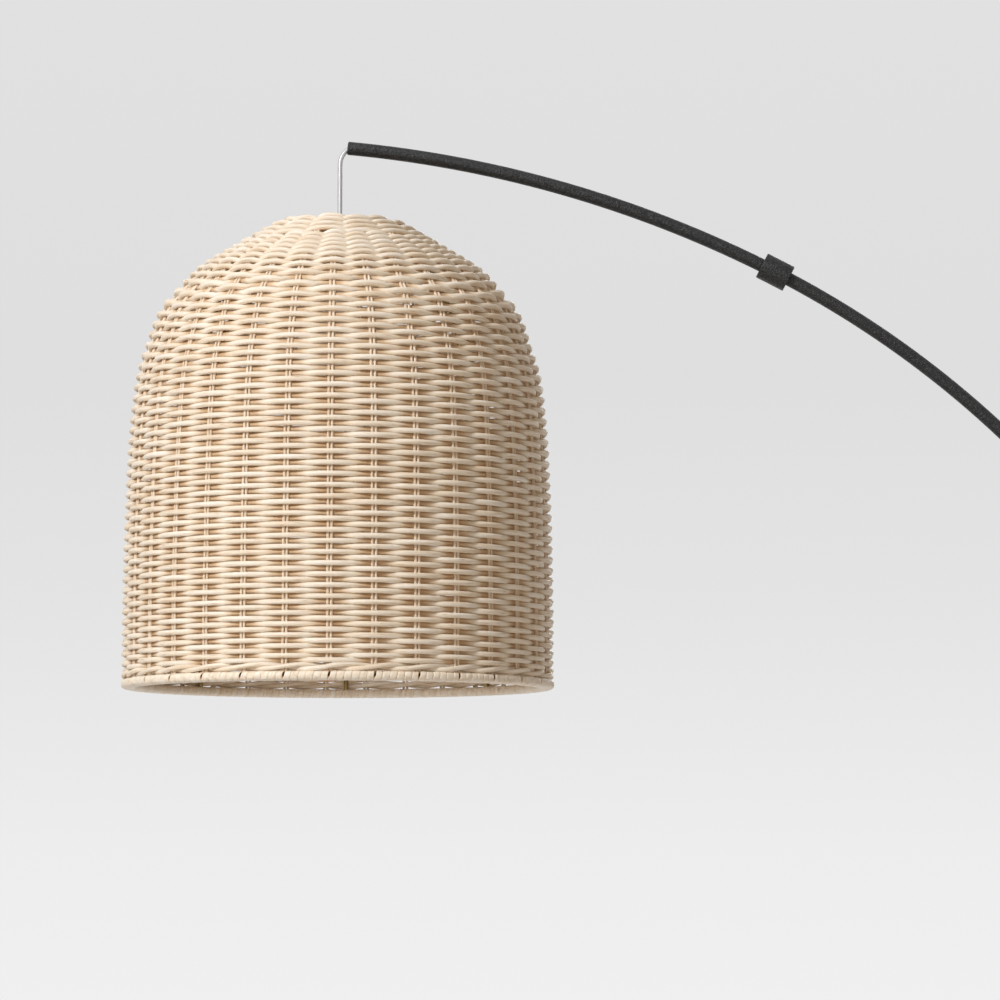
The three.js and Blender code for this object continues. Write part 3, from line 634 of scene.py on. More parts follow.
weaver = {
    "thickness": 0.0052,
    "height": 0.0051,  # most that a strand takes up between rows
    "firstRow": -0.0007,  # where the first row's middle lies, from the crown's edge
    "lastRow": 0.0005,  # and the last row's, above the wall's foot
    "squeeze": 0.985,  # share of the spacing that it takes where it crosses over
    "looseSqueeze": 1.12,  # and the most where it lies over or under
    "middleInset": 0.00605,  # from the outline to the stakes' middle
    # From the stakes' middle to the strand's middle, in or out, at distances down from the crown
    "lift": ((0.0, 0.0026), (0.045, 0.0028), (0.10, 0.0031), (0.5, 0.0031)),
    # Spacing of the rows at distances down from the crown's edge: tight over the crown, loose on the
    # shoulder where the dome turns down, even on the wall
    "rowSpacing": (
        (0.0, 0.0054), (0.040, 0.0050), (0.080, 0.0050), (0.110, 0.0049), (0.120, 0.0067),
        (0.130, 0.0084), (0.140, 0.0071), (0.150, 0.0055), (0.165, 0.00517), (0.200, 0.00529),
        (0.260, 0.00504), (0.330, 0.00504), (0.400, 0.00491), (0.500, 0.00492),
    ),
    "groupedTo": 0.042,  # rows above here go over two pairs and under two
    "levelTurns": 4.0,  # turns over which the spiral flattens at either end
    "stepShare": 0.10,  # part of a level turn that drops to the next row
    "ringsPerPair": 9,
    "sides": 10,
    "bands": ("weaverCrown", "weaverShoulder", "weaverWall", "weaverFoot"),
    "looseBy": 0.0032,  # over the strand's thickness, where the rows are loosest
    "looseRise": 0.0050,
    "looseSize": 0.28,
    "crestPlain": 0.7,
    "crestGrouped": 1.2,
    "innerGain": 0.09,  # share of its height that it gains where it lies inside, and loses outside
    "innerRise": 0.0006,  # and how much higher it lies there
    # Unevenness along the strand, each wave as (amount, pace, seed)
    "swingWave": (0.05, 0.9, 5),
    "rowWave": (0.00016, 1.3, 3),
    "sizeWaves": ((0.035, 0.21, 7), (0.02, 1.7, 9)),
    "tone": 0.86,
    "toneWaves": ((0.09, 0.33, 11), (0.06, 2.1, 13)),
    "paintedShadeInside": 0.34,  # painted shade: share of its tone that it keeps where it lies inside, darker and warmer there
    "paintedShadeInsideTo": 1.05,  # how far in it keeps no more than that
    "leastTone": 0.15,
}


def rowTable(w):
    # Turns made down to each distance: the sum of steps over the spacing there, scaled to whole turns
    distance = np.linspace(w["firstRow"], weaveLength - w["lastRow"], 2000)
    spacing = np.interp(distance, *np.array(w["rowSpacing"]).T)
    made = np.append(0, np.cumsum(np.diff(distance) / spacing[1:]))
    return distance, made * round(made[-1]) / made[-1], spacing


def flattenedCosine(phase, crest):
    # A cosine whose crests are flatter the larger crest is
    c = np.cos(phase)
    return c * np.sqrt((1 + crest**2) / (1 + crest**2 * c**2))


def makeWeaver(w, d):
    distance, made, spacing = rowTable(w)
    levels, pairs, perPair = made[-1], d["pairs"], w["ringsPerPair"]
    count = int((levels + 1 - w["stepShare"]) * pairs * perPair)
    passed = np.arange(count) / perPair  # pairs of stakes passed so far
    turn = passed / pairs
    whole = np.floor(turn)
    part = turn - whole
    # Rows are level at both ends and drop in one short step; between them they fall evenly
    level = 1 - smoothStep(turn / w["levelTurns"]) * smoothStep((levels + 1 - turn) / w["levelTurns"])
    drop = smoothStep((part - 1 + w["stepShare"]) / w["stepShare"])
    row = np.minimum(whole + (1 - level) * part + level * drop, levels)
    down = np.interp(row, made, distance)
    here = np.interp(down, distance, spacing)
    azimuth = d["firstPair"] + (passed - pairs / 2) / pairs * fullTurn
    # Over and under: half a cosine wave for each pair. Near the crown, half a wave for each two pairs
    # and one of three, at the back, so that each row lies over where the last lay under.
    near = passed < round(np.interp(w["groupedTo"], distance, made)) * pairs
    inTurn = passed - whole * pairs
    groups = (pairs - 1) / 2
    grouped = np.where(inTurn < pairs - 3, inTurn / 2, groups - 1 + (inTurn - pairs + 3) / 3) + whole * groups
    half = np.where(near, grouped, passed) + 0.5
    crest = np.where(near, w["crestGrouped"], w["crestPlain"])
    swing = flattenedCosine(half * math.pi, crest) * (1 + waver(passed, w["swingWave"]))
    # Loose rows are fuller, and lie higher up the dome where they pass inside
    loose = np.clip((here - w["thickness"]) / w["looseBy"], 0, 1)
    rise = w["innerRise"] + w["looseRise"] * loose
    down = down + waver(passed, w["rowWave"]) - rise * np.clip(-swing, 0, 1)
    point, normal = onDome(down, azimuth, w["middleInset"])
    lift = np.interp(down, *np.array(w["lift"]).T)
    centres = point + (lift * swing)[:, None] * normal
    size = (1 + waver(passed, *w["sizeWaves"])) * (1 + w["looseSize"] * loose)
    thick = w["thickness"] / 2 * size
    # A strand is flattened where it crosses its neighbours and full where it lies over or under
    free = np.clip(swing**2, 0, 1)
    full = np.minimum(w["height"], here * w["looseSqueeze"]) * (1 - w["innerGain"] * swing)
    pinched = np.minimum(w["height"], here * w["squeeze"])
    wide = 0.5 * (pinched * (1 - free) + full * free) * size
    # Painted shade: the strand is darker, and through the ramp warmer, where it passes inside behind the
    # stakes
    outside = w["paintedShadeInside"] + (1 - w["paintedShadeInside"]) * smoothStep(w["paintedShadeInsideTo"] + swing)
    tone = np.clip((w["tone"] + waver(passed, *w["toneWaves"])) * outside, w["leastTone"], 1)
    # Four pieces that meet at the back, each overlapping the next by a ring
    perTurn = pairs * perPair
    edges = np.round(np.linspace(0, count / perTurn, len(w["bands"]) + 1)).astype(int) * perTurn
    edges[-1] = count - 1
    for name, first, last in zip(w["bands"], edges, edges[1:]):
        strand = (values[first:last + 1] for values in (centres, normal, wide, thick))
        mesh = strandMesh(name, *strand, w["sides"], tone=tone[first:last + 1])
        addObject(name, mesh, weaverFinish, "shade_weave")
    print("weaver", round(pathLength(centres), 1), "m long,", count * w["sides"] * 2, "triangles")


makeWeaver(weaver, dome)

# Stakes: pairs of thin rods from the crown's edge down into the rim

stakes = {
    "thickness": 0.0026,
    "apart": 0.0034,  # between the middles of the two of a pair
    "top": 0.0010,
    "footHeight": 0.0042,  # above the shade's foot
    "rings": 64,
    "sides": 8,
    "wander": (0.0003, 60, 21),  # amount, pace and seed
    "wanderShift": 1 / 12,  # from one stake to the next
    "tone": 0.88,
    "toneWave": (0.12, 2.7, 23),
}


def makeStakes(s, d):
    down = np.linspace(s["top"], domeDistance[-1] - s["footHeight"], s["rings"])
    stake = np.arange(2 * d["pairs"])[:, None]
    radius = np.interp(down, domeDistance, domeLine[:, 0])
    across = (stake % 2 - 0.5) * s["apart"] + waver(down + stake * s["wanderShift"], s["wander"])
    azimuth = d["firstPair"] + stake // 2 / d["pairs"] * fullTurn + across / radius
    point, normal = onDome(np.broadcast_to(down, azimuth.shape), azimuth, weaver["middleInset"])
    tone = s["tone"] + waver(stake, s["toneWave"])
    half = s["thickness"] / 2
    mesh = strandMesh("stakes", point, normal, half, half, s["sides"], tone=tone)
    addObject("stakes", mesh, (canes["stakeCane"], "pendant", "cane"), "shade_weave")


makeStakes(stakes, dome)
print("stakes made")

# Waling: two strands twisted round each other, one before and one behind at each pair of stakes

waling = {
    "thickness": 0.0043,
    "lift": 0.0031,
    "crest": 0.6,
    "middleHeight": 0.0127,  # above the shade's foot
    "climb": 0.0018,  # half of the height that a strand gains as it passes before a pair
    "ringsPerPair": 16,
    "sides": 10,
    "inset": 0.0058,
    "heightWave": (0.0003, 0.9, 35),
    "sizeWave": (0.05, 0.7, 33),
    "tone": 0.86,
    "toneWave": (0.1, 0.8, 31),
}


def makeWaling(w, d):
    # The two are one closed strand wound twice round, since 31 is odd: a helix of one turn for each
    # two pairs, outside as it climbs and inside as it falls
    passed = np.arange(2 * d["pairs"] * w["ringsPerPair"]) / w["ringsPerPair"]
    height = shadeFoot + w["middleHeight"] + w["climb"] * np.sin(passed * math.pi)
    height = height + waver(passed, w["heightWave"])
    azimuth = d["firstPair"] + passed / d["pairs"] * fullTurn
    radius = shadeRadius - w["inset"] + w["lift"] * flattenedCosine(passed * math.pi, w["crest"])
    size = w["thickness"] / 2 * (1 + waver(passed, w["sizeWave"]))
    tone = w["tone"] + waver(passed, w["toneWave"])
    centres = aroundShade(azimuth, radius, height)
    mesh = strandMesh("walingBand", centres, outwards(azimuth), size, size, w["sides"], True, tone)
    addObject("walingBand", mesh, weaverFinish, "waling_band")


makeWaling(waling, dome)

# Rim: flat peel wrapped in a tight helix round the bottom ring

rim = {
    "outer": shadeRadius,
    "inner": 0.1869,
    "height": 0.0090,
    "wrapsPerPair": 6,
    "shares": (0.0, 0.03, 0.09, 0.25, 0.5, 0.75, 0.91, 0.97),  # places across one wrap
    "sides": 32,
    "squareness": 2.7,
    "sideRoom": 0.0003,  # kept free inside the rim's box
    "endRoom": 0.0001,  # and above and below
    "dipUpwards": 0.9,  # share of a dip that shows above and below
    "grooveDepth": 0.0007,
    "groovePower": 14,  # the higher, the narrower
    "slotDepth": 0.0030,
    "slotPower": 30,
    "slotEdge": 0.8,  # how near to a wrap's edge a slot begins, of one
    "slotHalfWidth": 0.00058,
    "slotTurn": math.radians(25),  # place of the slots round the section, up from outwards
    "slotReach": math.radians(50),
    "sizeWave": (0.03, 2.3, 41),
    "tone": 0.92,
    "toneWave": (0.10, 3.1, 43),
    # painted shade in the grooves between wraps and in the slots
    "paintedGrooveShade": 0.5,
    "paintedGrooveShadePower": 40,
    "leastTone": 0.05,
    "paintedSlotShadeEdge": 0.9,  # beyond it a slot is painted dark, as shade
    "mapScale": (0.045, 0.4),  # of the cane's map along a wrap and across it
}


def makeRim(r, d):
    # The section is a superellipse. A wrap's place in the helix moves on by one wrap in a turn round
    # the section. The surface dips along the edges of the wraps, and deeper where stakes come through.
    sides, perWrap, wraps = r["sides"], len(r["shares"]), r["wrapsPerPair"] * d["pairs"]
    rows = wraps * perWrap
    share = np.tile(r["shares"], wraps)[:, None]
    place = np.repeat(np.arange(wraps), perWrap)[:, None] + share
    turn = turns(sides)[None, :]
    out, up = (np.sign(v) * np.abs(v) ** (2 / r["squareness"]) for v in (np.cos(turn), np.sin(turn)))
    edge = np.abs(2 * share - 1)
    apart = np.abs((turn - r["slotTurn"] + math.pi) % fullTurn - math.pi)
    bell = 1 - smoothStep((apart - r["slotReach"] / 2) / r["slotReach"])
    line = np.floor(place + 0.5) + (turn > math.pi)  # number of the wraps' line, counted on past the seam
    atSlot = (line % r["wrapsPerPair"] == 0) & (edge > r["slotEdge"])
    slot = r["slotDepth"] * edge ** r["slotPower"] * bell
    dip = r["grooveDepth"] * edge ** r["groovePower"] + np.where(atSlot, slot, 0)
    azimuth = d["firstPair"] + (place + turn / fullTurn) / wraps * fullTurn
    lean = np.where(share > 0.5, -1, 1) * bell * r["slotHalfWidth"] / r["outer"]
    azimuth = azimuth + np.where(atSlot & (edge < 1), lean, 0)
    uneven = 1 + waver(place, r["sizeWave"])
    halfWidth, halfHeight = (r["outer"] - r["inner"]) / 2, r["height"] / 2
    radius = r["outer"] - halfWidth + out * (halfWidth * uneven - r["sideRoom"] - dip)
    height = shadeFoot + halfHeight + up * (halfHeight * uneven - r["endRoom"] - dip * r["dipUpwards"])
    points = aroundShade(azimuth, radius, height).reshape(-1, 3)
    # Each seam quad joins the last side of a row to the first side of the same wrap line one turn on
    row, side = np.arange(rows)[:, None], np.arange(sides)[None, :]
    ahead, beside = (row + 1) % rows, (side + 1) % sides
    on = np.where(side == sides - 1, perWrap, 0)
    follow, followAhead = (row + on) % rows, (row + 1 + on) % rows
    corners = ((row, side), (ahead, side), (followAhead, beside), (follow, beside))
    quads = stacked(*(ring * sides + point for ring, point in corners)).reshape(-1, 4)
    along, across = (v.reshape(-1)[quads] for v in np.broadcast_arrays(turn / fullTurn, place))
    uv = stacked(along, across) * r["mapScale"]
    tone = r["tone"] + waver(np.floor(place), r["toneWave"])
    # Painted shade: darker along the grooves between wraps, near black in the slots where stakes come through
    tone = tone - r["paintedGrooveShade"] * edge ** r["paintedGrooveShadePower"]
    tone = np.clip(tone, r["leastTone"], 1) * np.where(atSlot & (edge > r["paintedSlotShadeEdge"]), 1 - bell, 1)
    mesh = quadMesh("rimWrap", points, quads, uv, tone)
    addObject("rimWrap", mesh, (canes["peelCane"], "pendant", "cane_binding"), "rim_binding")


makeRim(rim, dome)
print("waling and rim made")

# Wire frame inside the shade

wires = {
    "ring": 0.005,
    "rib": 0.0045,
    "spoke": 0.004,
    "inset": 0.0112,
    "ribs": 8,
    "ribRings": 70,
    "ribTop": 0.030,  # down the dome from the crown's edge
    "footRingHeight": 0.0045,
    "spokes": 4,
    "plateRadius": 0.026,
    "plateThickness": 0.002,
    "plateBore": 0.0198,
    "plateEdge": 0.0004,
    "sides": 12,
    "footRings": 128,
    "crownRings": 96,
    "spokeRings": 12,
    "plateSides": 64,
}


def wireRing(name, radius, height, count, w):
    turn = turns(count)
    half = w["ring"] / 2
    return strandMesh(name, aroundShade(turn, radius, height), outwards(turn), half, half, w["sides"], True)


def makeCage(w, d):
    # Ribs midway between pairs of stakes, as near to even spacing as that allows
    spaces = d["pairs"] // 2 + np.floor(np.arange(w["ribs"]) * d["pairs"] / w["ribs"] + 0.5)
    azimuth = d["firstPair"] + (spaces + 0.5) / d["pairs"] * fullTurn
    last = domeDistance[-1] - w["footRingHeight"]
    down = np.broadcast_to(np.linspace(w["ribTop"], last, w["ribRings"]), (w["ribs"], w["ribRings"]))
    point, normal = onDome(down, azimuth[:, None], w["inset"])
    ribs = strandMesh("ribs", point, normal, w["rib"] / 2, w["rib"] / 2, w["sides"])
    foot = wireRing("footRing", shadeRadius - w["inset"], shadeFoot + w["footRingHeight"], w["footRings"], w)
    addObject("ribsAndRing", joinedMesh("ribsAndRing", ribs, foot), frameWire, "shade_cage")


def makeTopRing(w):
    low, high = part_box("shade_top_ring")
    radius = (high.x - low.x) / 2 - w["ring"] / 2
    height = high.z - w["ring"] / 2
    half, plateHalf = w["spoke"] / 2, w["plateThickness"] / 2
    ring = wireRing("crownRing", radius, height, w["crownRings"], w)
    turn = ((np.arange(w["spokes"]) + 0.5) / w["spokes"] * fullTurn)[:, None]
    t = np.linspace(0, 1, w["spokeRings"])[None, :, None]
    outer = aroundShade(turn, radius, height)
    inner = aroundShade(turn, w["plateRadius"] - half, low.z + half)
    path = outer + t * (inner - outer)
    upward = np.broadcast_to((0.0, 0.0, 1.0), path.shape)
    spokes = strandMesh("spokes", path, upward, half, half, w["sides"])
    plateLow, plateHigh = low.z + half - plateHalf, low.z + half + plateHalf
    bore, edge = w["plateBore"], w["plateRadius"]
    corners = ((bore, plateLow), (edge, plateLow), (edge, plateHigh), (bore, plateHigh))
    plate = turnedMesh("plate", rounded(corners, w["plateEdge"]), onPlumbLine, w["plateSides"])
    mesh = joinedMesh("crownRingAndPlate", ring, spokes, plate)
    addObject("crownRingAndPlate", mesh, frameWire, "shade_top_ring")


makeCage(wires, dome)
makeTopRing(wires)
print("wire frame made")

# Pole and arm

arm = {
    "tube": 0.0127,
    "wall": 0.0012,
    "poleTop": 0.908,
    "radius": 0.920,
    "tipRadius": 1.100,
    "tipSlope": math.radians(5.28),
    "tipJointSlope": math.radians(27.4),
    "midJointSlope": math.radians(58.7),
    "poleJoint": 0.480,
    "endGap": 0.0023,  # from a joint's middle to each tube's end
    "endRound": 0.0012,
    "innerRound": 0.0002,  # of the ends inside the sleeves
    "sides": 40,
    "stationStep": 0.012,
}


def slopePoint(centre, radius, slope):
    return stacked(centre[0] + radius * np.sin(slope), 0.0, centre[1] + radius * np.cos(slope))


armCentre = (-arm["radius"], arm["poleTop"])
tipJoint = slopePoint(armCentre, arm["radius"], arm["tipJointSlope"])
tipCentre = slopePoint((tipJoint[0], tipJoint[2]), -arm["tipRadius"], arm["tipJointSlope"])[[0, 2]]


def bentPlace(centre, radius, startSlope):
    # Distance along a circle in the arm's plane, measured down the arm from a slope
    def place(distance):
        slope = startSlope + distance / radius
        side = stacked(np.sin(slope), 0, np.cos(slope))
        along = stacked(np.cos(slope), 0, -np.sin(slope))
        return slopePoint(centre, radius, slope), side, np.cross(along, side)
    return place


def tubeSection(a, length, edge):
    # Outer wall from one end to the other and back along the bore, with stations for the curve
    outer, bore = a["tube"] / 2, a["tube"] / 2 - a["wall"]
    ease = np.linspace(0, math.pi / 2, 6)
    start = stacked(outer - edge * (1 - np.sin(ease)), edge * (1 - np.cos(ease)))
    stations = np.linspace(edge, length - edge, max(3, int(length / a["stationStep"])))[1:-1]
    wall, inside = stacked(outer, stations), stacked(bore, stations[::-1])
    end = start[::-1] * (1, -1) + (0, length)
    return np.vstack((start, wall, end, ((bore, length),), inside, ((bore, 0),)))


def makeTube(a, node, name, length, place, edge):
    turnedPiece(name, tubeSection(a, length, edge), place, a["sides"], blackSteel, node)


def makeTubes(a):
    gap = a["endGap"]
    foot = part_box("pole_lower")[0].z
    uprights = (
        ("pole_lower", "poleLower", foot, a["poleJoint"] - gap),
        ("pole_upper", "poleUpper", a["poleJoint"] + gap, a["poleTop"] - gap),
    )
    for node, name, low, high in uprights:
        place = straightPlace((0, 0, low), (0, 0, 1), (1, 0, 0))
        makeTube(a, node, name, high - low, place, a["innerRound"])
    tip, middle, inner = a["tipJointSlope"], a["midJointSlope"], a["innerRound"]
    bends = (
        ("arc_lower", "armLower", armCentre, a["radius"], middle, gap, math.pi / 2, inner),
        ("arc_middle", "armMiddle", armCentre, a["radius"], tip, gap, middle, inner),
        ("arc_tip", "armTip", tipCentre, a["tipRadius"], a["tipSlope"], 0, tip, a["endRound"]),
    )
    for node, name, centre, radius, start, startGap, end, edge in bends:
        length = (end - start) * radius - startGap - gap
        makeTube(a, node, name, length, bentPlace(centre, radius, start + startGap / radius), edge)


makeTubes(arm)

sleeve = {
    "diameter": 0.0254,
    "length": 0.0285,
    "bore": 0.01330,
    "stop": 0.004,
    "stopBore": 0.01090,
    "edge": 0.0009,
    "boreEdge": 0.0004,
    "screwOffset": 0.0085,
    "holeDiameter": 0.0046,
    "holeReach": 1.3,  # over the sleeve's radius
    "sides": 72,
}


def drilled(obj, *holes):
    # Cuts each level hole of (start, direction, length, diameter) out of a piece
    for start, direction, length, diameter in holes:
        section = ((0, 0), (diameter / 2, 0), (diameter / 2, length), (0, length))
        place = straightPlace(start, direction, np.cross((0.0, 0.0, 1.0), direction))
        cutter = bpy.data.objects.new("hole", turnedMesh("hole", section, place, 24))
        bpy.context.scene.collection.objects.link(cutter)
        cut = obj.modifiers.new("hole", "BOOLEAN")
        cut.operation = "DIFFERENCE"
        cut.solver = "EXACT"
        cut.object = cutter
        bpy.context.view_layer.update()
        graph = bpy.context.evaluated_depsgraph_get()
        mesh = bpy.data.meshes.new_from_object(obj.evaluated_get(graph), depsgraph=graph)
        obj.modifiers.clear()
        obj.data = mesh
        bpy.data.objects.remove(cutter)
    obj.data.set_sharp_from_angle(angle=math.radians(35))


def makeSleeves(s, a):
    radius, half, bore = s["diameter"] / 2, s["length"] / 2, s["bore"] / 2
    stop, stopBore = s["stop"] / 2, s["stopBore"] / 2
    section = rounded((
        (radius, -half, s["edge"]), (radius, half, s["edge"]), (bore, half, s["boreEdge"]), (bore, stop),
        (stopBore, stop), (stopBore, -stop), (bore, -stop), (bore, -half, s["boreEdge"]),
    ))
    sleeves = (
        ("pole", (0, 0, a["poleJoint"]), math.pi / 2),
        ("shoulder", (0, 0, a["poleTop"]), math.pi / 2),
        ("middle", slopePoint(armCentre, a["radius"], a["midJointSlope"]), a["midJointSlope"]),
        ("tip", tipJoint, a["tipJointSlope"]),
    )
    for name, point, slope in sleeves:
        along = np.array((math.cos(slope), 0, -math.sin(slope)))
        place = straightPlace(point, along, (math.sin(slope), 0, math.cos(slope)))
        obj = turnedPiece(name + "Sleeve", section, place, s["sides"], blackSteel, name + "_coupling")
        screws = (np.array(point) + offset * along for offset in (-s["screwOffset"], s["screwOffset"]))
        reach = radius * s["holeReach"]
        drilled(obj, *((screw, (0, 1, 0), reach, s["holeDiameter"]) for screw in screws))


makeSleeves(sleeve, arm)
print("pole, arm and sleeves made")

# Base: rounded steel cover over the cast disc, and the pole's socket

base = {
    "edgeRound": 0.006,
    "sheet": 0.0012,
    "bore": 0.0053,
    "sides": 160,
}

socket = {
    "flange": 0.033,
    "flangeThickness": 0.005,
    "flangeFillet": 0.0025,
    "barrel": 0.016,
    "seat": 0.00665,
    "seatEdge": 0.0004,
    "seatGap": 0.0003,
    "cavity": 0.0055,
    "boltBore": 0.0053,
    "boltDepth": 0.0123,
    "web": 0.002,
    "leadBend": 0.011,
    "edge": 0.001,
    "glandBore": 0.0096,
    "screwBore": 0.0056,
    "holeReach": 1.3,  # over the barrel's radius
    "tubeDepth": 0.026,
    "sides": 96,
}


def makeBaseCover(b):
    low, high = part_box("base_cover")
    radius, sheet, bend = high.x, b["sheet"], b["edgeRound"]
    turn = np.linspace(0, math.pi / 2, 12)
    edge = stacked(np.cos(turn), np.sin(turn))
    middle = (radius - bend, high.z - bend)
    section = np.vstack((
        ((radius, low.z),), edge * bend + middle, ((b["bore"], high.z), (b["bore"], high.z - sheet)),
        (edge * (bend - sheet) + middle)[::-1], ((radius - sheet, low.z),),
    ))
    turnedPiece("baseCover", section, upright, b["sides"], blackSteel, "base_cover")


def makeSocket(s):
    low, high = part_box("pole_socket")
    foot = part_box("pole_lower")[0].z
    edge, flangeTop, seatFloor = s["edge"], low.z + s["flangeThickness"], foot - s["seatGap"]
    boltTop = low.z + s["boltDepth"]
    section = rounded((
        (0, boltTop), (s["boltBore"], boltTop), (s["boltBore"], low.z), (s["flange"], low.z),
        (s["flange"], flangeTop, edge), (s["barrel"], flangeTop, s["flangeFillet"]),
        (s["barrel"], high.z, edge), (s["seat"], high.z, s["seatEdge"]), (s["seat"], seatFloor),
        (s["cavity"], seatFloor), (s["cavity"], boltTop + s["web"]), (0, boltTop + s["web"]),
    ))
    obj = turnedPiece("poleSocket", section, upright, s["sides"], blackSteel, "pole_socket")
    holes = ((foot - s["leadBend"], s["glandBore"]), (foot + s["tubeDepth"] / 2, s["screwBore"]))
    reach = s["barrel"] * s["holeReach"]
    drilled(obj, *(((0, 0, height), (1, 0, 0), reach, bore) for height, bore in holes))


makeBaseCover(base)
makeSocket(socket)
print("base and socket made")

# Lampholder and bulb on the plumb line

holder = {
    "skirt": 0.0195,
    "shoulder": 0.023,
    "wall": 0.0024,
    "skirtLength": 0.028,
    "neck": 0.009,
    "shoulderHeight": 0.003,
    "gap": 0.0003,
    "edge": 0.0006,
    "fineEdge": 0.0003,
    "softEdge": 0.0005,
    "holeEdge": 0.0004,
    "capWall": 0.0017,
    "capHeight": 0.021,
    "capDrop": 0.006,
    "capRound": 0.004,
    "capInnerRound": 0.003,
    "grip": 0.0065,
    "gripThread": 0.005,
    "gripBore": 0.0029,
    "gripHeight": 0.011,
    "gripThreadLength": 0.006,
    "gripRound": 0.001,
    "gripTopRound": 0.0012,
    "gripBend": 0.6,  # where it narrows, as a share of its height
    "gripTop": 0.8,  # and to what share of its radius
    "gripSides": 48,
    "shadeRing": 0.0255,
    "shadeRingHeight": 0.009,
    "shadeRingEdge": 0.0009,
    "ringRibs": 24,
    "ringRibDepth": 0.0007,
    "plateThickness": 0.002,
    "threadPitch": 0.0028,
    "threadDepth": 0.0006,
    "threadEnd": 0.001,  # plain length at either end
    "threadStep": 0.00035,
    "sides": 72,
}


def makeHolder(h):
    gap, skirt, bore, edge, fine = h["gap"], h["skirt"], h["skirt"] - h["wall"], h["edge"], h["fineEdge"]
    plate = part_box("shade_ring")[1].z + gap + h["plateThickness"]
    foot, neck = plate - h["skirtLength"], plate + h["neck"]
    # Ribbed skirt: the radius dips once for each turn of the thread
    depth = np.arange(foot + h["threadEnd"], plate - h["threadEnd"], h["threadStep"])
    thread = skirt - h["threadDepth"] * (0.5 - 0.5 * np.cos(fullTurn * (depth - plate) / h["threadPitch"]))
    seat, shoulder = plate + gap, plate + gap + h["shoulderHeight"]
    top = rounded((
        (skirt, seat), (h["shoulder"], seat, edge), (h["shoulder"], shoulder, edge), (skirt, shoulder),
        (skirt, neck, edge), (bore, neck, edge), (bore, foot, edge), (skirt, foot, edge),
    ))
    section = np.vstack((stacked(thread, depth), top))
    turnedPiece("holderBody", section, onPlumbLine, h["sides"], holderPlastic, "holder_body")
    low, high = shoulder + gap, plate + h["capHeight"]
    ceiling, drop = high - h["capWall"], high - h["capDrop"]
    inner, hole = skirt + gap, h["gripThread"] + gap
    outer = inner + h["capWall"]
    cap = rounded(
        (
            (outer, low, h["softEdge"]), (outer, drop, h["capRound"]),
            ((outer + hole) / 2, high, h["capRound"]), (hole, high, h["holeEdge"]), (hole, ceiling),
            ((inner + hole) / 2, ceiling, h["capInnerRound"]),
            (inner, drop - h["capWall"] / 2, h["capInnerRound"]), (inner, low, fine),
        ),
        steps=8,
    )
    turnedPiece("holderCap", cap, onPlumbLine, h["sides"], holderPlastic, "holder_cap")
    seat, threadFoot, top = high + gap, high + gap - h["gripThreadLength"], high + gap + h["gripHeight"]
    grip = rounded((
        (h["gripThread"], threadFoot, fine), (h["gripThread"], seat), (h["grip"], seat, h["softEdge"]),
        (h["grip"], seat + h["gripHeight"] * h["gripBend"], h["gripRound"]),
        (h["grip"] * h["gripTop"], top, h["gripTopRound"]), (h["gripBore"], top, h["holeEdge"]),
        (h["gripBore"], threadFoot),
    ))
    turnedPiece("cordGrip", grip, onPlumbLine, h["gripSides"], holderPlastic, "cord_grip")
    makeShadeRing(h, plate - h["plateThickness"] - gap)


def makeShadeRing(h, high):
    # Finger ring with upright ribs: its outer radius rises and falls for each rib
    low, outer, inner = high - h["shadeRingHeight"], h["shadeRing"], h["skirt"] + h["gap"]
    edge, fine = h["shadeRingEdge"], h["fineEdge"]
    section = rounded(((outer, low, edge), (outer, high, edge), (inner, high, fine), (inner, low, fine)))
    mesh = turnedMesh("shadeRing", section, onPlumbLine, 8 * h["ringRibs"])
    points = np.zeros(len(mesh.vertices) * 3, np.float32)
    mesh.vertices.foreach_get("co", points)
    points = points.reshape(-1, 3)
    flat = points[:, :2] - (plumbX, 0)
    radius = np.linalg.norm(flat, axis=1, keepdims=True)
    azimuth = np.arctan2(flat[:, 1], flat[:, 0])[:, None]
    dip = h["ringRibDepth"] * (0.5 - 0.5 * np.cos(h["ringRibs"] * azimuth)) ** 2
    dip = dip * (radius > (outer + h["skirt"]) / 2)
    points[:, :2] = flat * (radius - dip) / radius + (plumbX, 0)
    filled(mesh.vertices, "co", points)
    mesh.update()
    addObject("shadeRing", mesh, holderPlastic, "shade_ring")


bulb = {
    "radius": 0.030,
    "wall": 0.0009,
    "neck": 0.0118,
    "outlineShares": ((0.43, 0.12), (0.6, 0.3), (0.9, 0.52), (1, 0.68), (0.9, 0.85), (0.5, 0.97), (0, 1)),
    "samples": 60,
    "sides": 72,
}


def makeBulb(b):
    low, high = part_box("bulb_glass")
    neck, wall = b["neck"], b["wall"]
    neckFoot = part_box("bulb_base")[0].z - holder["gap"]
    outline = [(out * b["radius"], neckFoot + down * (low.z - neckFoot)) for out, down in b["outlineShares"]]
    line = splineThrough([(neck, neckFoot)] + outline, b["samples"])
    line[-1] = (0, low.z)
    slope = unit(np.gradient(line, axis=0))
    inner = line + wall * stacked(slope[:, 1], -slope[:, 0])
    inner[-1] = (0, low.z + wall)
    section = np.vstack((line[::-1], ((neck, high.z), (neck - wall, high.z)), inner))
    finish = (opalMaterial(), "pendant", "bulb_glass")
    turnedPiece("bulbGlass", section, onPlumbLine, b["sides"], finish, "bulb_glass")


makeHolder(holder)
makeBulb(bulb)
print("lampholder and bulb made")

# Finishes of the CAD pieces that show as they are. Screws and all others are zinc plated.

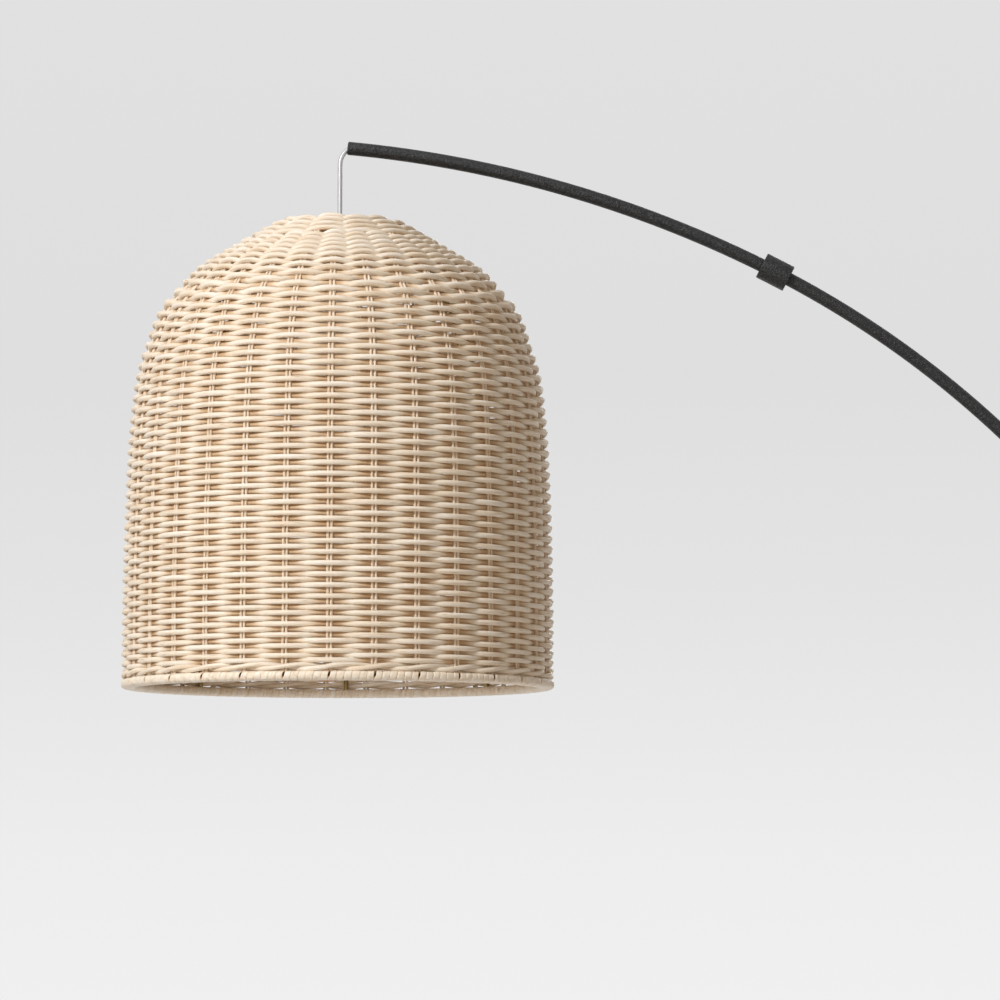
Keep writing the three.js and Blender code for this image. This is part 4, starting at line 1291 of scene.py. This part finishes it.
keptFinishes = {
    "base_pad": "rubberPad",
    "base_weight": "castIron",
    "cord_gland": "blackPlastic",
    "tip_bush": "blackPlastic",
    "supply_lead": "silverCable",
    "holder_insulator": "glazedCeramic",
    "centre_contact": "contactBrass",
    "screw_shell": "contactBrass",
    "bulb_base": "spunAluminium",
}


def finishKeptNodes(finishes):
    for name, node in frame["nodes"].items():
        if not node.hide_render:
            node.data.materials.clear()
            node.data.materials.append(plain[finishes.get(name, "zincPlate")])


finishKeptNodes(keptFinishes)

# Studio: pale floor that fades into an even backdrop, a broad lamp from the upper left and soft fill

studio = {
    # Greys from below the horizon to above it, over these sines of the angle looked up
    "backdropLow": -0.06,
    "backdropHigh": 0.24,
    "backdrop": ((0.0, 0.945), (0.2, 0.930), (0.42, 0.893), (0.62, 0.873), (1.0, 0.884)),
    "worldStrength": 0.305,
    "worldColour": (1.0, 0.84, 0.67),
    "floorRadius": 6.0,
    "floorDrop": 0.0005,
    "fadeFrom": 2.2,
    "fadeTo": 4.5,
    "floorGreys": ((0.3, (0.885, 0.885, 0.885)), (0.7, (0.90, 0.90, 0.90))),
    "floorPatches": 3.0,
    "floorRoughness": 0.8,
    "floorGlow": 0.16,  # seen by the camera the floor is paler, near to the backdrop; its shadows stay
    "floorGlowColour": (0.82, 0.9, 1.0),
    "aim": (-0.6, 0.0, 1.4),
    # Name, place, diameter, power and colour
    "lamps": (
        ("key", (-3.3, -3.2, 3.25), 0.8, 121.0, (1, 1, 1)),
        ("top", (-1.6, -1.2, 4.4), 2.2, 24.5, (1, 1, 1)),
        ("rear", (-0.35, 3.7, 2.6), 2.0, 38.0, (1, 1, 1)),
        ("low", (-1.3, -2.3, 0.35), 1.6, 4.5, (1.0, 0.78, 0.56)),
    ),
}


def seenDirectly(owner):
    # One for what the camera sees, or sees in a glossy or clear surface, and nothing for other light
    rays = linked(owner, "ShaderNodeLightPath").outputs
    clearOrGlossy = maths(owner, "MAXIMUM", rays["Is Glossy Ray"], rays["Is Transmission Ray"])
    return maths(owner, "MAXIMUM", rays["Is Camera Ray"], clearOrGlossy)


def mixedShader(owner, output, factor, first, second):
    mix = linked(owner, "ShaderNodeMixShader", Fac=factor)
    connect(owner, first.outputs[0], mix.inputs[1])
    connect(owner, second.outputs[0], mix.inputs[2])
    connect(owner, mix.outputs["Shader"], output.inputs["Surface"])


def makeWorld(s):
    # What the camera, glossy and clear surfaces see is a pale backdrop, by how high they look.
    # Everything else gets an even warm light.
    world = bpy.data.worlds.new("studio")
    bpy.context.scene.world = world
    world.use_nodes = True
    world.node_tree.nodes.clear()
    output = linked(world, "ShaderNodeOutputWorld")
    direction = linked(world, "ShaderNodeTexCoord").outputs["Generated"]
    height = linked(world, "ShaderNodeSeparateXYZ", Vector=direction).outputs["Z"]
    spread = linked(
        world, "ShaderNodeMapRange", Value=height, From_Min=s["backdropLow"], From_Max=s["backdropHigh"]
    )
    shades = ramp(world, spread.outputs["Result"], *((place, (grey,) * 3) for place, grey in s["backdrop"]))
    seen = linked(world, "ShaderNodeBackground", Color=shades)
    soft = linked(world, "ShaderNodeBackground", Color=(*s["worldColour"], 1), Strength=s["worldStrength"])
    mixedShader(world, output, seenDirectly(world), soft, seen)


def makeFloor(s):
    mesh = bpy.data.meshes.new("floor")
    mesh.from_pydata((outwards(turns(96)) * s["floorRadius"]).tolist(), [], [list(range(96))])
    floor = bpy.data.objects.new("floor", mesh)
    floor.location.z = -s["floorDrop"]
    bpy.context.scene.collection.objects.link(floor)
    material, shader = newMaterial("floorPaint")
    place = linked(material, "ShaderNodeTexCoord").outputs["Object"]
    far = linked(material, "ShaderNodeVectorMath", {"operation": "LENGTH"}, Vector=place)
    spread = linked(
        material, "ShaderNodeMapRange", {"interpolation_type": "SMOOTHSTEP"}, Value=far.outputs["Value"],
        From_Min=s["fadeFrom"], From_Max=s["fadeTo"],
    )
    colour = ramp(material, noise(material, place, s["floorPatches"]), *s["floorGreys"])
    glow = maths(material, "MULTIPLY", seenDirectly(material), s["floorGlow"])
    setInputs(
        material, shader, Base_Color=colour, Roughness=s["floorRoughness"],
        Emission_Color=(*s["floorGlowColour"], 1), Emission_Strength=glow,
    )
    below = linked(material, "ShaderNodeNewGeometry").outputs["Backfacing"]  # clear from underneath
    fade = maths(material, "MAXIMUM", spread.outputs["Result"], below)
    clear = linked(material, "ShaderNodeBsdfTransparent")
    mixedShader(material, material.node_tree.nodes["Material Output"], fade, shader, clear)
    mesh.materials.append(material)


def makeLamp(aim, name, place, size, power, colour):
    data = bpy.data.lights.new(name, "AREA")
    data.shape = "DISK"
    data.size = size
    data.energy = power
    data.color = colour
    obj = bpy.data.objects.new(name, data)
    obj.location = place
    obj.rotation_euler = (Vector(aim) - Vector(place)).to_track_quat("-Z", "Y").to_euler()
    bpy.context.scene.collection.objects.link(obj)


makeWorld(studio)
makeFloor(studio)
for lamp in studio["lamps"]:
    makeLamp(studio["aim"], *lamp)
print("studio lit")
